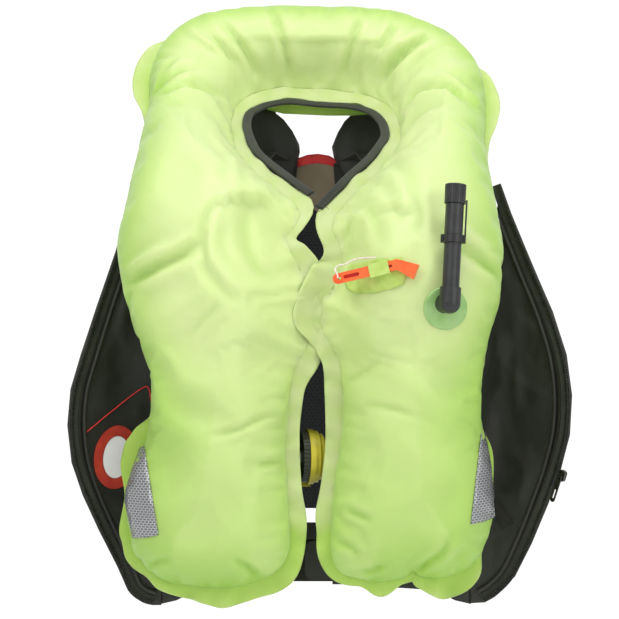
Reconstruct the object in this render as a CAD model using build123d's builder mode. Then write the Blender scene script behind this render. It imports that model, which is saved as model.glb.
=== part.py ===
"""Inflated life jacket, upright as worn: gas chamber, opened burst cover, back panel and waist belt.

Millimetres. +Z is up and -Y is the wearer's front. The origin is the centre of the wearer's neck.
Every sub-part is one node. "left" is the side at -X and "right" the side at +X.
"""

import os
from math import cos, pi, radians, sin, sqrt, tan

from build123d import *

# ---- Driving dimensions -------------------------------------------------------------------
LOBE_Y = -185.0  # middle plane of the two front lobes
PANEL_Y = -112.0  # front face of the vest's front panels, against the chest
BACK_Y = 118.0  # inner face of the back panel, against the wearer's back
CLOTH = 2.4  # thickness of a made-up cloth panel
GAP = 0.6  # clearance between soft neighbours

HINGE_X = 165.0  # seam where a cover flap joins its front panel
FLAP_R = 125.0  # the flap curls forward on this radius
HINGE_GAP = 1.2  # half the width of the seam's soft fold

BELT_W = 46.0  # webbing width
BELT_T = 2.2
BELT_FRONT = -97.0  # outer faces of the belt loop
BELT_BACK = 112.0
BELT_SIDE = 160.0
BELT_Z = -439.0

TAPE_LOW = -406.0  # reflective patches on the lobes
TAPE_HIGH = -310.0
LOBE_XC, LOBE_A, LOBE_B = 92.0, 78.0, 60.0  # lobe section at the reflective patches

INFLATOR = (0.0, -143.0, -324.0)  # centre of the inflator's rim
INFLATOR_R = 29.4
INFLATOR_TURN = 10.0  # its axis turns this far from +X towards +Y

ORAL_AT = (129.8, -241.7, -161.0)  # where the oral tube leaves the lobe
ORAL_N = (0.265, -0.964, 0.0)  # outwards from the lobe there
ORAL_DIR = (0.057, 0.13, 0.99)  # along the tube, from elbow to cap
TUBE_R = 8.8

WHISTLE_AT = (62.0, -246.0, -127.0)  # a point just off the lobe, under the whistle
WHISTLE_TILT = 13.0

os.makedirs("parts", exist_ok=True)
made = []


def save(builder, name):
    """Labels a finished sub-part and writes its STEP file."""
    builder.part.label = name
    export_step(builder.part, f"parts/{name}.step")
    made.append(name)


def unit(v):
    return Vector(*v).normalized()


def box_between(low, high, mode=Mode.ADD):
    """A box from its lowest to its highest corner."""
    middle = [(a + b) / 2 for a, b in zip(low, high)]
    size = [b - a for a, b in zip(low, high)]
    with Locations(tuple(middle)):
        return Box(*size, mode=mode)


# ---- Gas chamber --------------------------------------------------------------------------
# One horseshoe tube: up a front lobe, back over the shoulder, and round behind the neck.
# Each section is (centre, width direction, thickness direction, half width, half thickness).
LEAN_1, LEAN_2, LEAN_3 = radians(38), radians(54), radians(46)
SECTIONS = [
    ((88, LOBE_Y + 12, -480), (1, 0, 0), (0, -1, 0), 34, 12),
    ((90, LOBE_Y + 8, -470), (1, 0, 0), (0, -1, 0), 66, 34),
    ((92, LOBE_Y + 4, -448), (1, 0, 0), (0, -1, 0), 76, 50),
    ((LOBE_XC, LOBE_Y, -414), (1, 0, 0), (0, -1, 0), LOBE_A, LOBE_B),
    ((LOBE_XC, LOBE_Y, -302), (1, 0, 0), (0, -1, 0), LOBE_A, LOBE_B),
    ((89, LOBE_Y, -247), (1, 0, 0), (0, -1, 0), 77, 60),
    ((93, LOBE_Y, -189), (1, 0, 0), (0, -1, 0), 90, 62),
    ((98, LOBE_Y + 3, -126), (1, 0, 0), (0, -1, 0), 94, 62),
    ((103, LOBE_Y + 13, -82), (1, 0, 0), (0, -cos(LEAN_1 / 2), sin(LEAN_1 / 2)), 90, 59),
    ((111, -136, -38), (1, 0, 0), (0, -cos(LEAN_1), sin(LEAN_1)), 79, 55),
    ((128, -75, 2), (1, 0, 0), (0, -cos(LEAN_2), sin(LEAN_2)), 61, 50),
    ((137, -6, 38), (1, 0, 0), (0, -cos(LEAN_3), sin(LEAN_3)), 55, 45),
    ((136, 62, 86), (0.92, 0.14, 0.37), (0, -0.93, 0.35), 60, 46),
    ((103, 80, 117), (0.72, 0.15, 0.68), (0, -0.98, 0.2), 60, 48),
    ((54, 84, 128), (0.38, 0.17, 0.91), (0, -0.98, 0.18), 56, 49),
    ((0, 85, 130), (0, 0.19, 0.98), (0, -0.98, 0.19), 55, 49),
]


def section_plane(centre, width, thick):
    """The plane of a section, whose x runs along its width and y along its thickness."""
    w = unit(width)
    t = (unit(thick) - w * unit(thick).dot(w)).normalized()
    return Plane(origin=centre, x_dir=w, z_dir=w.cross(t))


def inflator_plane(along=0.0):
    """A plane square to the inflator's axis, this far along it from the rim."""
    turn = radians(INFLATOR_TURN)
    axis = Vector(cos(turn), sin(turn), 0)
    return Plane(
        origin=Vector(*INFLATOR) + axis * along, x_dir=(-sin(turn), cos(turn), 0), z_dir=axis
    )


POCKET_R = 17.0  # room for the gas cylinder inside the left lobe
POCKET_FROM = -152.0
with BuildPart() as chamber:
    for pair in zip(SECTIONS, SECTIONS[1:]):
        for centre, width, thick, a, b in pair:
            with BuildSketch(section_plane(centre, width, thick)):
                Ellipse(a, b)
        loft(ruled=True)
    mirror(about=Plane.YZ)
    with BuildSketch(inflator_plane(POCKET_FROM)):
        Circle(POCKET_R)
    extrude(amount=-POCKET_FROM, mode=Mode.SUBTRACT)
    with BuildSketch(inflator_plane(-24)):
        Circle(INFLATOR_R + 1.5)
    extrude(amount=34, mode=Mode.SUBTRACT)
save(chamber, "air_chamber")

# The seam's flat edge folds outwards behind each shoulder.
EAR = (158.0, 84.0, 86.0)
EAR_A, EAR_B, EAR_T = 36.0, 42.0, 8.0
for side, name in ((-1, "seam_ear_left"), (1, "seam_ear_right")):
    with BuildPart() as ear:
        with BuildSketch(Plane.XZ.offset(-EAR[1])):
            with Locations((side * EAR[0], EAR[2])):
                Ellipse(EAR_A, EAR_B)
        extrude(amount=EAR_T / 2, both=True)
        add(chamber.part, mode=Mode.SUBTRACT)
        add(ear.part.solids().sort_by(Axis.X)[0 if side < 0 else -1], mode=Mode.INTERSECT)
    save(ear, name)

BINDING_W, BINDING_T = 9.5, 3.2
with BuildPart() as binding:
    neck = SECTIONS[7:]
    for pair in zip(neck, neck[1:]):
        for centre, width, thick, a, b in pair:
            inner = Vector(*centre) - unit(width) * (a + GAP + BINDING_W / 2)
            with BuildSketch(section_plane(inner, width, thick)):
                Rectangle(BINDING_W, BINDING_T)
        loft(ruled=True)
    mirror(about=Plane.YZ)
    box_plane = Plane.YZ.offset(-1)
    with BuildSketch(box_plane):
        with Locations((-150, -90)):
            Rectangle(160, 200)
    extrude(amount=2, mode=Mode.SUBTRACT)
    add(chamber.part, mode=Mode.SUBTRACT)
save(binding, "neck_binding")

TAPE_T = 1.0
TAPE_CLEAR = 0.7
TAPE_REACH = 35.0  # how far towards the front and back each patch reaches round the lobe
for side, name in ((-1, "reflective_patch_left"), (1, "reflective_patch_right")):
    with BuildPart() as tape:
        with BuildSketch(Plane.XY.offset(TAPE_LOW)):
            with Locations((side * LOBE_XC, LOBE_Y)):
                Ellipse(LOBE_A + TAPE_CLEAR + TAPE_T, LOBE_B + TAPE_CLEAR + TAPE_T)
                Ellipse(LOBE_A + TAPE_CLEAR, LOBE_B + TAPE_CLEAR, mode=Mode.SUBTRACT)
            with Locations((side * (LOBE_XC + LOBE_A), LOBE_Y - 12)):
                Rectangle(60, 2 * TAPE_REACH, mode=Mode.INTERSECT)
        extrude(amount=TAPE_HIGH - TAPE_LOW)
    save(tape, name)

# ---- Whistle on the upper lobe ------------------------------------------------------------
WHISTLE_N = unit((-0.26, -0.965, 0))  # outwards from the lobe here
_t = radians(WHISTLE_TILT)
WHISTLE_DIR = (Vector(cos(_t) * -WHISTLE_N.Y, cos(_t) * WHISTLE_N.X, sin(_t))).normalized()


def whistle_plane(out, tilted=True):
    """A plane along the lobe's surface, this far out of it; x runs along the whistle."""
    x = WHISTLE_DIR if tilted else Vector(-WHISTLE_N.Y, WHISTLE_N.X, 0)
    return Plane(origin=Vector(*WHISTLE_AT) + WHISTLE_N * out, x_dir=x, z_dir=WHISTLE_N)


PATCH_T = 1.0
LOOP_T, LOOP_W = 1.2, 21.0
WHISTLE_H, WHISTLE_T = 10.6, 7.0
WHISTLE_L = 72.0
LOOP_AT = 5.0  # the loop's centre along the whistle
MOUTH_L = 24.0
MOUTH_DROP = 38.0  # the mouthpiece bends down this many degrees
LOOP_OUT = PATCH_T + 0.3

with BuildPart() as patch:
    with BuildSketch(whistle_plane(0, False)):
        with Locations((2, -4)):
            RectangleRounded(58, 26, 6)
    extrude(amount=PATCH_T)
save(patch, "whistle_patch")

with BuildPart() as loop:
    with BuildSketch(whistle_plane(LOOP_OUT)):
        with Locations((LOOP_AT, 0)):
            Rectangle(LOOP_W, WHISTLE_H + 2 * LOOP_T + 1.0)
    extrude(amount=WHISTLE_T + 2 * LOOP_T + 1.0)
    with BuildSketch(whistle_plane(LOOP_OUT + LOOP_T)):
        with Locations((LOOP_AT, 0)):
            Rectangle(LOOP_W + 2, WHISTLE_H + 1.0)
    extrude(amount=WHISTLE_T + 1.0, mode=Mode.SUBTRACT)
save(loop, "whistle_loop")

WHISTLE_OUT = LOOP_OUT + LOOP_T + 0.5
WHISTLE_X0 = -45.0
SOUND_SLOT = (-25.0, 17.0, 3.6)
with BuildPart() as whistle:
    with BuildSketch(whistle_plane(WHISTLE_OUT)):
        with Locations((WHISTLE_X0 + WHISTLE_L / 2, 0)):
            RectangleRounded(WHISTLE_L, WHISTLE_H, 5.0)
        with BuildLine():
            bend = radians(MOUTH_DROP)
            x0 = WHISTLE_X0 + WHISTLE_L - 10
            x1 = x0 + 8
            mx, mz = cos(bend), -sin(bend)
            Polyline(
                (x0, WHISTLE_H / 2),
                (x1, WHISTLE_H / 2),
                (x1 + MOUTH_L * mx + 2, WHISTLE_H / 2 + MOUTH_L * mz + 4),
                (x1 + MOUTH_L * mx - 7, WHISTLE_H / 2 + MOUTH_L * mz - 9),
                (x1 - 2, -WHISTLE_H / 2),
                (x0, -WHISTLE_H / 2),
                close=True,
            )
        make_face()
    extrude(amount=WHISTLE_T)
    with BuildSketch(whistle_plane(WHISTLE_OUT + WHISTLE_T - 3.5)):
        with Locations((SOUND_SLOT[0], 0)):
            SlotOverall(SOUND_SLOT[1], SOUND_SLOT[2])
        with Locations((WHISTLE_X0 + WHISTLE_L - 12, 0)):
            SlotOverall(8, 2.6)
    extrude(amount=4, mode=Mode.SUBTRACT)
    with BuildSketch(whistle_plane(WHISTLE_OUT - 1)):
        with Locations((WHISTLE_X0 + 7, 0)):
            Circle(1.8)
    extrude(amount=WHISTLE_T + 2, mode=Mode.SUBTRACT)
save(whistle, "whistle_body")

# A cord from the whistle's end hole, up and behind the whistle to its patch: straight runs
# joined by arcs. Points are along the whistle, up the lobe, and out from the whistle's middle.
CORD_R = 0.8
LANYARD = [
    (5.0, 0.0, 9.0), (5.5, 4.5, 8.6), (2.5, 9.5, 6.2), (6.5, 13.6, 4.0), (14.5, 12.4, 2.4),
    (19.5, 15.0, 0.8), (28.0, 15.4, -0.8), (37.0, 14.4, -2.2), (46.0, 12.2, -3.6),
]
lanyard_face = whistle_plane(WHISTLE_OUT + WHISTLE_T / 2)
lanyard_points = [lanyard_face.from_local_coords((WHISTLE_X0 + 2 + x, y, z)) for x, y, z in LANYARD]


def route_radii(points):
    """The largest tangent arcs that the runs on each side of a corner leave room for."""
    radii = []
    for before, here, after in zip(points, points[1:], points[2:]):
        turn = radians((here - before).get_angle(after - here))
        radii.append(0.45 * min((here - before).length, (after - here).length) / tan(turn / 2))
    return radii


with BuildPart() as lanyard:
    with BuildLine() as lanyard_path:
        FilletPolyline(*lanyard_points, radius=route_radii(lanyard_points))
    with BuildSketch(Plane(origin=lanyard_path.wire() @ 0, z_dir=lanyard_path.wire() % 0)):
        Circle(CORD_R)
    sweep()
print("lanyard length", round(lanyard_path.wire().length, 1), "radii",
      [round(r, 1) for r in route_radii(lanyard_points)],
      "volume over section", round(lanyard.part.volume / (pi * CORD_R**2), 1))
save(lanyard, "whistle_lanyard")

# ---- Oral tube ----------------------------------------------------------------------------
ELBOW_OUT = 23.0  # the elbow's centre stands this far out of the lobe
_elbow = Vector(*ORAL_AT) + unit(ORAL_N) * ELBOW_OUT
_side = (Vector(1, 0, 0) - unit(ORAL_DIR) * unit(ORAL_DIR).X).normalized()


def oral_plane(along):
    """A plane square to the oral tube, this far above the elbow's centre."""
    d = unit(ORAL_DIR)
    return Plane(origin=_elbow + d * along, x_dir=_side, z_dir=d)


def lobe_plane(out):
    """A plane parallel to the lobe's surface under the elbow."""
    n = unit(ORAL_N)
    return Plane(origin=Vector(*ORAL_AT) + n * out, x_dir=(-n.Y, n.X, 0), z_dir=n)


ORAL_PATCH_R, ORAL_PATCH_T = 21.5, 1.2
ELBOW_R = 10.8
TUBE_BORE = 5.6
TUBE_FROM, TUBE_TO = 8.0, 76.0
ELBOW_TOP = 16.0
RING_FROM, RING_H, RING_R = 62.0, 8.0, 10.8
VALVE_FROM, VALVE_SHOULDER, VALVE_TOP = 70.6, 102.0, 112.0
VALVE_R, NECK_R = 9.4, 7.5
CAP_FROM, CAP_TO, CAP_R = 102.6, 122.5, 10.9
CAP_CLEAR = 0.05
POPPET_R, STEM_R = 4.4, 1.6
SEAT_R = 3.4
SEAT_AT = 90.0
SEAT_T = 4.0
STEM_CLEAR = 0.05
KNURLS = 28

with BuildPart() as oral_patch:
    with BuildSketch(lobe_plane(0.4)):
        Circle(ORAL_PATCH_R)
    extrude(amount=ORAL_PATCH_T)
save(oral_patch, "oral_patch")

with BuildPart() as elbow:
    with BuildSketch(lobe_plane(0.4 + ORAL_PATCH_T)):
        Circle(ELBOW_R - 0.6)
    extrude(amount=ELBOW_OUT - 0.4 - ORAL_PATCH_T)
    with Locations(tuple(_elbow)):
        Sphere(ELBOW_R)
    with BuildSketch(oral_plane(0)):
        Circle(ELBOW_R)
    extrude(amount=ELBOW_TOP)
    with BuildSketch(oral_plane(TUBE_FROM)):
        Circle(TUBE_R)
    extrude(amount=ELBOW_TOP - TUBE_FROM, mode=Mode.SUBTRACT)
    with BuildSketch(oral_plane(0)):
        Circle(TUBE_BORE)
    extrude(amount=TUBE_FROM, mode=Mode.SUBTRACT)
save(elbow, "oral_elbow")

with BuildPart() as tube:
    with BuildSketch(oral_plane(TUBE_FROM)):
        Circle(TUBE_R)
        Circle(TUBE_BORE, mode=Mode.SUBTRACT)
    extrude(amount=TUBE_TO - TUBE_FROM)
save(tube, "oral_tube")

# The valve's sleeve grips the tube; inside it a seat guides the poppet's stem.
with BuildPart() as valve:
    with BuildSketch(oral_plane(VALVE_FROM)):
        Circle(VALVE_R)
    extrude(amount=VALVE_SHOULDER - VALVE_FROM)
    with BuildSketch(oral_plane(VALVE_SHOULDER)):
        Circle(NECK_R)
    extrude(amount=VALVE_TOP - VALVE_SHOULDER)
    with BuildSketch(oral_plane(VALVE_FROM)):
        Circle(TUBE_R)
    extrude(amount=TUBE_TO - VALVE_FROM, mode=Mode.SUBTRACT)
    with BuildSketch(oral_plane(TUBE_TO)):
        Circle(TUBE_BORE)
    extrude(amount=SEAT_AT - TUBE_TO, mode=Mode.SUBTRACT)
    with BuildSketch(oral_plane(SEAT_AT)):
        Circle(STEM_R + STEM_CLEAR)
        with PolarLocations(SEAT_R - 0.4, 4):
            Circle(0.9)
    extrude(amount=SEAT_T, mode=Mode.SUBTRACT)
    with BuildSketch(oral_plane(SEAT_AT + SEAT_T)):
        Circle(TUBE_BORE)
    extrude(amount=VALVE_TOP - SEAT_AT - SEAT_T, mode=Mode.SUBTRACT)
save(valve, "oral_valve_body")

POPPET_GAP = 0.4
with BuildPart() as poppet:
    with BuildSketch(oral_plane(SEAT_AT - POPPET_GAP - 3)):
        Circle(POPPET_R)
    extrude(amount=3)
    with BuildSketch(oral_plane(SEAT_AT - POPPET_GAP)):
        Circle(STEM_R)
    extrude(amount=VALVE_TOP - SEAT_AT - 4)
    with BuildSketch(oral_plane(VALVE_TOP - 5)):
        Circle(3.6)
    extrude(amount=2)
save(poppet, "oral_poppet")

SPRING_R, SPRING_WIRE = 3.0, 0.35
spring_from, spring_to = SEAT_AT + SEAT_T + 0.1, VALVE_TOP - 5.1
with BuildPart() as spring:
    with BuildLine() as coil:
        Helix(
            pitch=(spring_to - spring_from - 2 * SPRING_WIRE) / 5,
            height=spring_to - spring_from - 2 * SPRING_WIRE,
            radius=SPRING_R - 0.6,
            center=tuple(oral_plane(spring_from + SPRING_WIRE).origin),
            direction=tuple(unit(ORAL_DIR)),
        )
    with BuildSketch(Plane(origin=coil.line @ 0, z_dir=coil.line % 0)):
        Circle(SPRING_WIRE)
    sweep(is_frenet=True)
save(spring, "oral_spring")

with BuildPart() as cap:
    with BuildSketch(oral_plane(CAP_FROM)):
        Circle(CAP_R)
        with PolarLocations(CAP_R, KNURLS):
            Circle(0.45, mode=Mode.SUBTRACT)
    extrude(amount=CAP_TO - CAP_FROM)
    cap_end = cap.faces().sort_by(lambda f: f.center().dot(unit(ORAL_DIR)))[-1]
    chamfer(cap_end.edges(), 0.4)
    with BuildSketch(oral_plane(CAP_FROM)):
        Circle(NECK_R + CAP_CLEAR)
    extrude(amount=VALVE_TOP - CAP_FROM + 0.5, mode=Mode.SUBTRACT)
save(cap, "oral_cap")

with BuildPart() as tether:
    with BuildSketch(oral_plane(RING_FROM)):
        Circle(RING_R)
        with Locations((RING_R, 0), (-RING_R, 0)):
            Rectangle(4, 6)
        Circle(TUBE_R + 0.1, mode=Mode.SUBTRACT)
    extrude(amount=RING_H)
    with BuildSketch(oral_plane(RING_FROM)):
        with Locations((RING_R + 1.2, 0)):
            Rectangle(1.6, 5)
    extrude(amount=CAP_FROM + 4 - RING_FROM)
save(tether, "cap_tether")

# ---- Inflator in the lower lobe -----------------------------------------------------------
RIM_FROM, RIM_TO = -10.0, -4.0
STEP_R, STEP_TO = 27.6, 1.0
BODY_R, BODY_TO = 24.6, 7.5
RING_R0, RING_FROM0 = 27.5, -17.0
CYL_R, CYL_FROM, CYL_TO = 15.0, -148.0, -24.0
CYL_NECK_R = 6.5
NECK_TO = -17.4
RIBS = 40

with BuildPart() as inflator_cap:
    with BuildSketch(inflator_plane(STEP_TO + 0.2)):
        Circle(BODY_R)
    extrude(amount=BODY_TO - STEP_TO - 0.2)
    chamfer(inflator_cap.faces().sort_by(Axis.X)[-1].edges(), 1.5)
save(inflator_cap, "inflator_cap")

BOSS_Z0, BOSS_Z1 = -357.5, -347.0  # the lever's clevis under the rim
BOSS_X0, BOSS_X1 = -30.0, -4.5
BOSS_Y0, BOSS_Y1 = -126.8, -117.6
LEVER_Y0, LEVER_Y1 = -124.2, -120.2
LEVER_PIVOT = (-25.5, -351.5)
LEVER_END = (-25.5, -384.0)
PIN_R = 1.5
PIN_CLEAR = 0.05
EYE_R = 1.8
EYE_Z = -379.0

with BuildPart() as inflator_body:
    with BuildSketch(inflator_plane(RIM_FROM)):
        Circle(INFLATOR_R)
    extrude(amount=RIM_TO - RIM_FROM)
    with BuildSketch(inflator_plane(RIM_TO)):
        Circle(STEP_R)
    extrude(amount=STEP_TO - RIM_TO)
    box_between((BOSS_X0, BOSS_Y0, BOSS_Z0), (BOSS_X1 - 1.5, BOSS_Y1, BOSS_Z1))
    box_between((-11.0, BOSS_Y0, BOSS_Z0), (BOSS_X1 - 1.5, BOSS_Y1, -338.0))
    box_between(
        (BOSS_X0 - 1, LEVER_Y0 - 0.3, BOSS_Z0 - 1),
        (LEVER_PIVOT[0] + 6.5, LEVER_Y1 + 0.3, BOSS_Z1 + 1),
        mode=Mode.SUBTRACT,
    )
    with BuildSketch(Plane.XZ.offset(-BOSS_Y0 + 1)):
        with Locations(LEVER_PIVOT):
            Circle(PIN_R)
    extrude(amount=-(BOSS_Y1 - BOSS_Y0 + 2), mode=Mode.SUBTRACT)
    with BuildSketch(inflator_plane(RIM_FROM)):
        Circle(CYL_NECK_R + 0.05)
    extrude(amount=4, mode=Mode.SUBTRACT)
save(inflator_body, "inflator_body")

with BuildPart() as pin:
    with BuildSketch(Plane.XZ.offset(-BOSS_Y0)):
        with Locations(LEVER_PIVOT):
            Circle(PIN_R)
    extrude(amount=-(BOSS_Y1 - BOSS_Y0))
save(pin, "lever_pin")

with BuildPart() as lever:
    with BuildSketch(Plane.XZ.offset(-LEVER_Y0)):
        with Locations(((LEVER_PIVOT[0] + LEVER_END[0]) / 2, (LEVER_PIVOT[1] + LEVER_END[1]) / 2)):
            SlotCenterToCenter(LEVER_PIVOT[1] - LEVER_END[1] - 5, 8.0, rotation=90)
        with Locations(LEVER_PIVOT):
            Circle(4.4)
            Circle(PIN_R + PIN_CLEAR, mode=Mode.SUBTRACT)
        with Locations((LEVER_END[0], EYE_Z)):
            Circle(EYE_R, mode=Mode.SUBTRACT)
    extrude(amount=-(LEVER_Y1 - LEVER_Y0))
save(lever, "inflator_lever")

with BuildPart() as inflator_ring:
    with BuildSketch(inflator_plane(RING_FROM0)):
        Circle(RING_R0)
        with PolarLocations(RING_R0, RIBS):
            Circle(0.7, mode=Mode.SUBTRACT)
        Circle(CYL_NECK_R + 0.6, mode=Mode.SUBTRACT)
    extrude(amount=RIM_FROM - 0.1 - RING_FROM0)
save(inflator_ring, "inflator_ring")

with BuildPart() as cylinder:
    with BuildSketch(inflator_plane(CYL_FROM)):
        Circle(CYL_R)
    extrude(amount=CYL_TO - CYL_FROM)
    fillet(cylinder.edges().filter_by(GeomType.CIRCLE), 7)
    with BuildSketch(inflator_plane(CYL_TO - 3)):
        Circle(CYL_NECK_R)
    extrude(amount=RIM_FROM + 3.5 - CYL_TO + 3)
save(cylinder, "gas_cylinder")

# ---- Vest cloth ---------------------------------------------------------------------------
# Front panels and cover flaps share one plan: flat against the chest, then curling forward.
CENTRE_X = 16.5  # half the gap between the front panels
LEFT_FLAP = [
    (166.5, -116), (182, -108), (194, -82), (203, -60), (215, -105), (234, -163), (250, -215), (260, -252),
    (263, -290), (259, -330), (248, -366), (232, -404), (213, -444), (203, -470), (186, -482),
    (166.5, -486),
]
RIGHT_FLAP = [
    (166.5, -116), (182, -106), (194, -66), (199, -32), (210, -64), (232, -120), (252, -170), (265, -215),
    (270, -258), (268, -300), (259, -340), (247, -376), (229, -416), (212, -448), (192, -466),
    (166.5, -472),
]
SIDES = ((-1, "left", LEFT_FLAP), (1, "right", RIGHT_FLAP))
PANEL_TOP, PANEL_LOW = -110.0, -470.0


def flap_shell(layer_from, layer_to):
    """Plan of one layer of a +X flap; layers count forward from the flap's front face."""
    r0, r1 = FLAP_R - layer_to, FLAP_R - layer_from
    x, y = HINGE_X + HINGE_GAP, PANEL_Y - FLAP_R
    a0, a1 = radians(90), radians(90 - 66)
    with BuildSketch(Plane.XY.offset(-500), mode=Mode.PRIVATE) as plan:
        with BuildLine():
            inner = CenterArc((x, y), r0, 90, -66)
            outer = CenterArc((x, y), r1, 90, -66)
            Line(inner @ 0, outer @ 0)
            Line(inner @ 1, outer @ 1)
        make_face()
    return plan.sketch


def flap_layer(side, outline, layer_from, layer_to):
    """The part of a flap's layer that lies behind an outline drawn from the front."""
    with BuildPart(mode=Mode.PRIVATE) as layer:
        add(flap_shell(layer_from, layer_to))
        extrude(amount=520)
        with BuildSketch(Plane.XZ):
            add(outline)
        extrude(amount=260, mode=Mode.INTERSECT)
    return layer.part if side > 0 else layer.part.mirror(Plane.YZ)


def flap_outline(points, inset=0.0, until=None):
    """A flap's front outline, moved in from its edge, or the band down to a deeper inset."""
    with BuildSketch(mode=Mode.PRIVATE) as out:
        Polygon(*points, align=None)
        if inset:
            offset(amount=-inset, kind=Kind.INTERSECTION, mode=Mode.REPLACE)
        if until:
            with BuildSketch(mode=Mode.PRIVATE) as hole:
                Polygon(*points, align=None)
                offset(amount=-until, kind=Kind.INTERSECTION, mode=Mode.REPLACE)
            add(hole.sketch, mode=Mode.SUBTRACT)
            with Locations((HINGE_X + 210, -250)):
                Rectangle(400, 600, mode=Mode.INTERSECT)
    return out.sketch


ZIP_TAPE_T, ZIP_TAPE_W = 0.8, 11.0
TEETH_IN, TEETH_W, TEETH_T = 1.0, 4.0, 2.4
PIPING_IN, PIPING_W, PIPING_T = 12.0, 4.5, 4.0

for side, name, points in SIDES:
    with BuildPart() as panel:
        with BuildSketch(Plane.XZ.offset(-PANEL_Y)):
            with Locations((side * (CENTRE_X + HINGE_X) / 2, (PANEL_TOP + PANEL_LOW) / 2)):
                RectangleRounded(HINGE_X - CENTRE_X, PANEL_TOP - PANEL_LOW, 12)
        extrude(amount=-CLOTH)
    save(panel, f"vest_front_{name}")

    with BuildPart() as flap:
        add(flap_layer(side, flap_outline(points), -CLOTH, 0))
    save(flap, f"cover_flap_{name}")

    with BuildPart() as tape:
        add(flap_layer(side, flap_outline(points, 0.5, ZIP_TAPE_W), 0.2, 0.2 + ZIP_TAPE_T))
    save(tape, f"zip_tape_{name}")

    with BuildPart() as teeth:
        band = flap_outline(points, TEETH_IN, TEETH_IN + TEETH_W)
        top = 0.4 + ZIP_TAPE_T
        add(flap_layer(side, band, top, top + TEETH_T))
    save(teeth, f"zip_teeth_{name}")

    with BuildPart() as piping:
        band = flap_outline(points, PIPING_IN, PIPING_IN + PIPING_W)
        add(flap_layer(side, band, 0.2, PIPING_T))
    save(piping, f"piping_{name}")


def on_flap(x, layer):
    """The point of a +X flap's layer at this x, and the layer's outward normal there."""
    swing = (x - HINGE_X - HINGE_GAP) / (FLAP_R - layer)
    normal = Vector(-swing, -sqrt(1 - swing**2), 0)
    return PANEL_Y - FLAP_R + (FLAP_R - layer) * sqrt(1 - swing**2), normal


# ---- Window, strap and slider on the flaps ------------------------------------------------
WINDOW = (-214.0, -326.0)
WINDOW_RING = (23.0, 34.0)
WINDOW_HOLE = (14.0, 23.0)
WINDOW_TILT = 6.0

with BuildSketch(mode=Mode.PRIVATE) as ring_outline:
    with Locations(Location((-WINDOW[0], WINDOW[1], 0), (0, 0, WINDOW_TILT))):
        Ellipse(*WINDOW_RING)
        Ellipse(*WINDOW_HOLE, mode=Mode.SUBTRACT)
with BuildPart() as window_ring:
    add(flap_layer(-1, ring_outline.sketch, 0.2, 1.6))
save(window_ring, "window_ring")

with BuildSketch(mode=Mode.PRIVATE) as film_outline:
    with Locations(Location((-WINDOW[0], WINDOW[1], 0), (0, 0, WINDOW_TILT))):
        Ellipse(WINDOW_HOLE[0] - 0.4, WINDOW_HOLE[1] - 0.4)
with BuildPart() as window_film:
    add(flap_layer(-1, film_outline.sketch, 0.2, 0.9))
save(window_film, "window_film")

STRAP = [(185, -378), (196, -373), (212, -397), (201, -404)]
with BuildSketch(mode=Mode.PRIVATE) as strap_outline:
    Polygon(*STRAP, align=None)
with BuildPart() as grab_strap:
    add(flap_layer(1, strap_outline.sketch, 0.2, 2.2))
save(grab_strap, "grab_strap")

SLIDER_AT = (262.0, -343.0)
SLIDER_DIR = (-0.268, -0.963)  # down along the zip's edge, seen from the front: x and z
SLIDER_L, SLIDER_W, SLIDER_T = 12.0, 9.0, 3.6
SLIDER_OUT = 0.4 + ZIP_TAPE_T + TEETH_T + 0.6
slider_y, slider_n = on_flap(SLIDER_AT[0], SLIDER_OUT)
slider_x = unit((SLIDER_DIR[0], -SLIDER_DIR[0] * slider_n.X / slider_n.Y, SLIDER_DIR[1]))


def slider_plane(out):
    """A plane over the slider, this far out of it; x runs down the zip."""
    origin = Vector(SLIDER_AT[0], slider_y, SLIDER_AT[1]) + slider_n * out
    return Plane(origin=origin, x_dir=slider_x, z_dir=slider_n)


PIVOT_R, PIVOT_CLEAR = 0.8, 0.05
LUG_X, LUG_W, LUG_H = 4.0, 3.0, 3.0
PIVOT_OUT = 0.3 + SLIDER_T + 1.7  # the pull's hinge, above the slider's body


def pivot_plane(across):
    """A plane square to the pull's hinge line, this far across the zip."""
    top = slider_plane(PIVOT_OUT)
    return Plane(
        origin=top.origin + top.y_dir * across, x_dir=tuple(top.x_dir), z_dir=tuple(top.y_dir)
    )


with BuildPart() as slider:
    with BuildSketch(slider_plane(0.3)):
        RectangleRounded(SLIDER_L, SLIDER_W, 3)
    extrude(amount=SLIDER_T)
    with BuildSketch(slider_plane(0.3 + SLIDER_T)):
        Rectangle(LUG_X, LUG_W)
    extrude(amount=LUG_H)
    with BuildSketch(pivot_plane(0)):
        Circle(PIVOT_R + PIVOT_CLEAR)
    extrude(amount=LUG_W, both=True, mode=Mode.SUBTRACT)
save(slider, "zip_slider")

PULL_L, PULL_W, PULL_T = 27.0, 6.6, 1.2
CHEEK_Y = 2.4
with BuildPart() as pull:
    with BuildSketch(slider_plane(PIVOT_OUT - PULL_T / 2)):
        with Locations((PULL_L / 2 + 3.8, 0)):
            SlotOverall(PULL_L, PULL_W)
        with Locations((5.0, 0)):
            Rectangle(2.4, PULL_W)
        with Locations((2.4, CHEEK_Y), (2.4, -CHEEK_Y)):
            Rectangle(7.2, 1.2)
        with Locations((PULL_L / 2 + 8, 0)):
            SlotOverall(11, 2.4, mode=Mode.SUBTRACT)
    extrude(amount=PULL_T)
    with BuildSketch(pivot_plane(-CHEEK_Y - 0.4)):
        Circle(PIVOT_R)
    extrude(amount=2 * CHEEK_Y + 0.8)
save(pull, "zip_pull")

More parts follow.
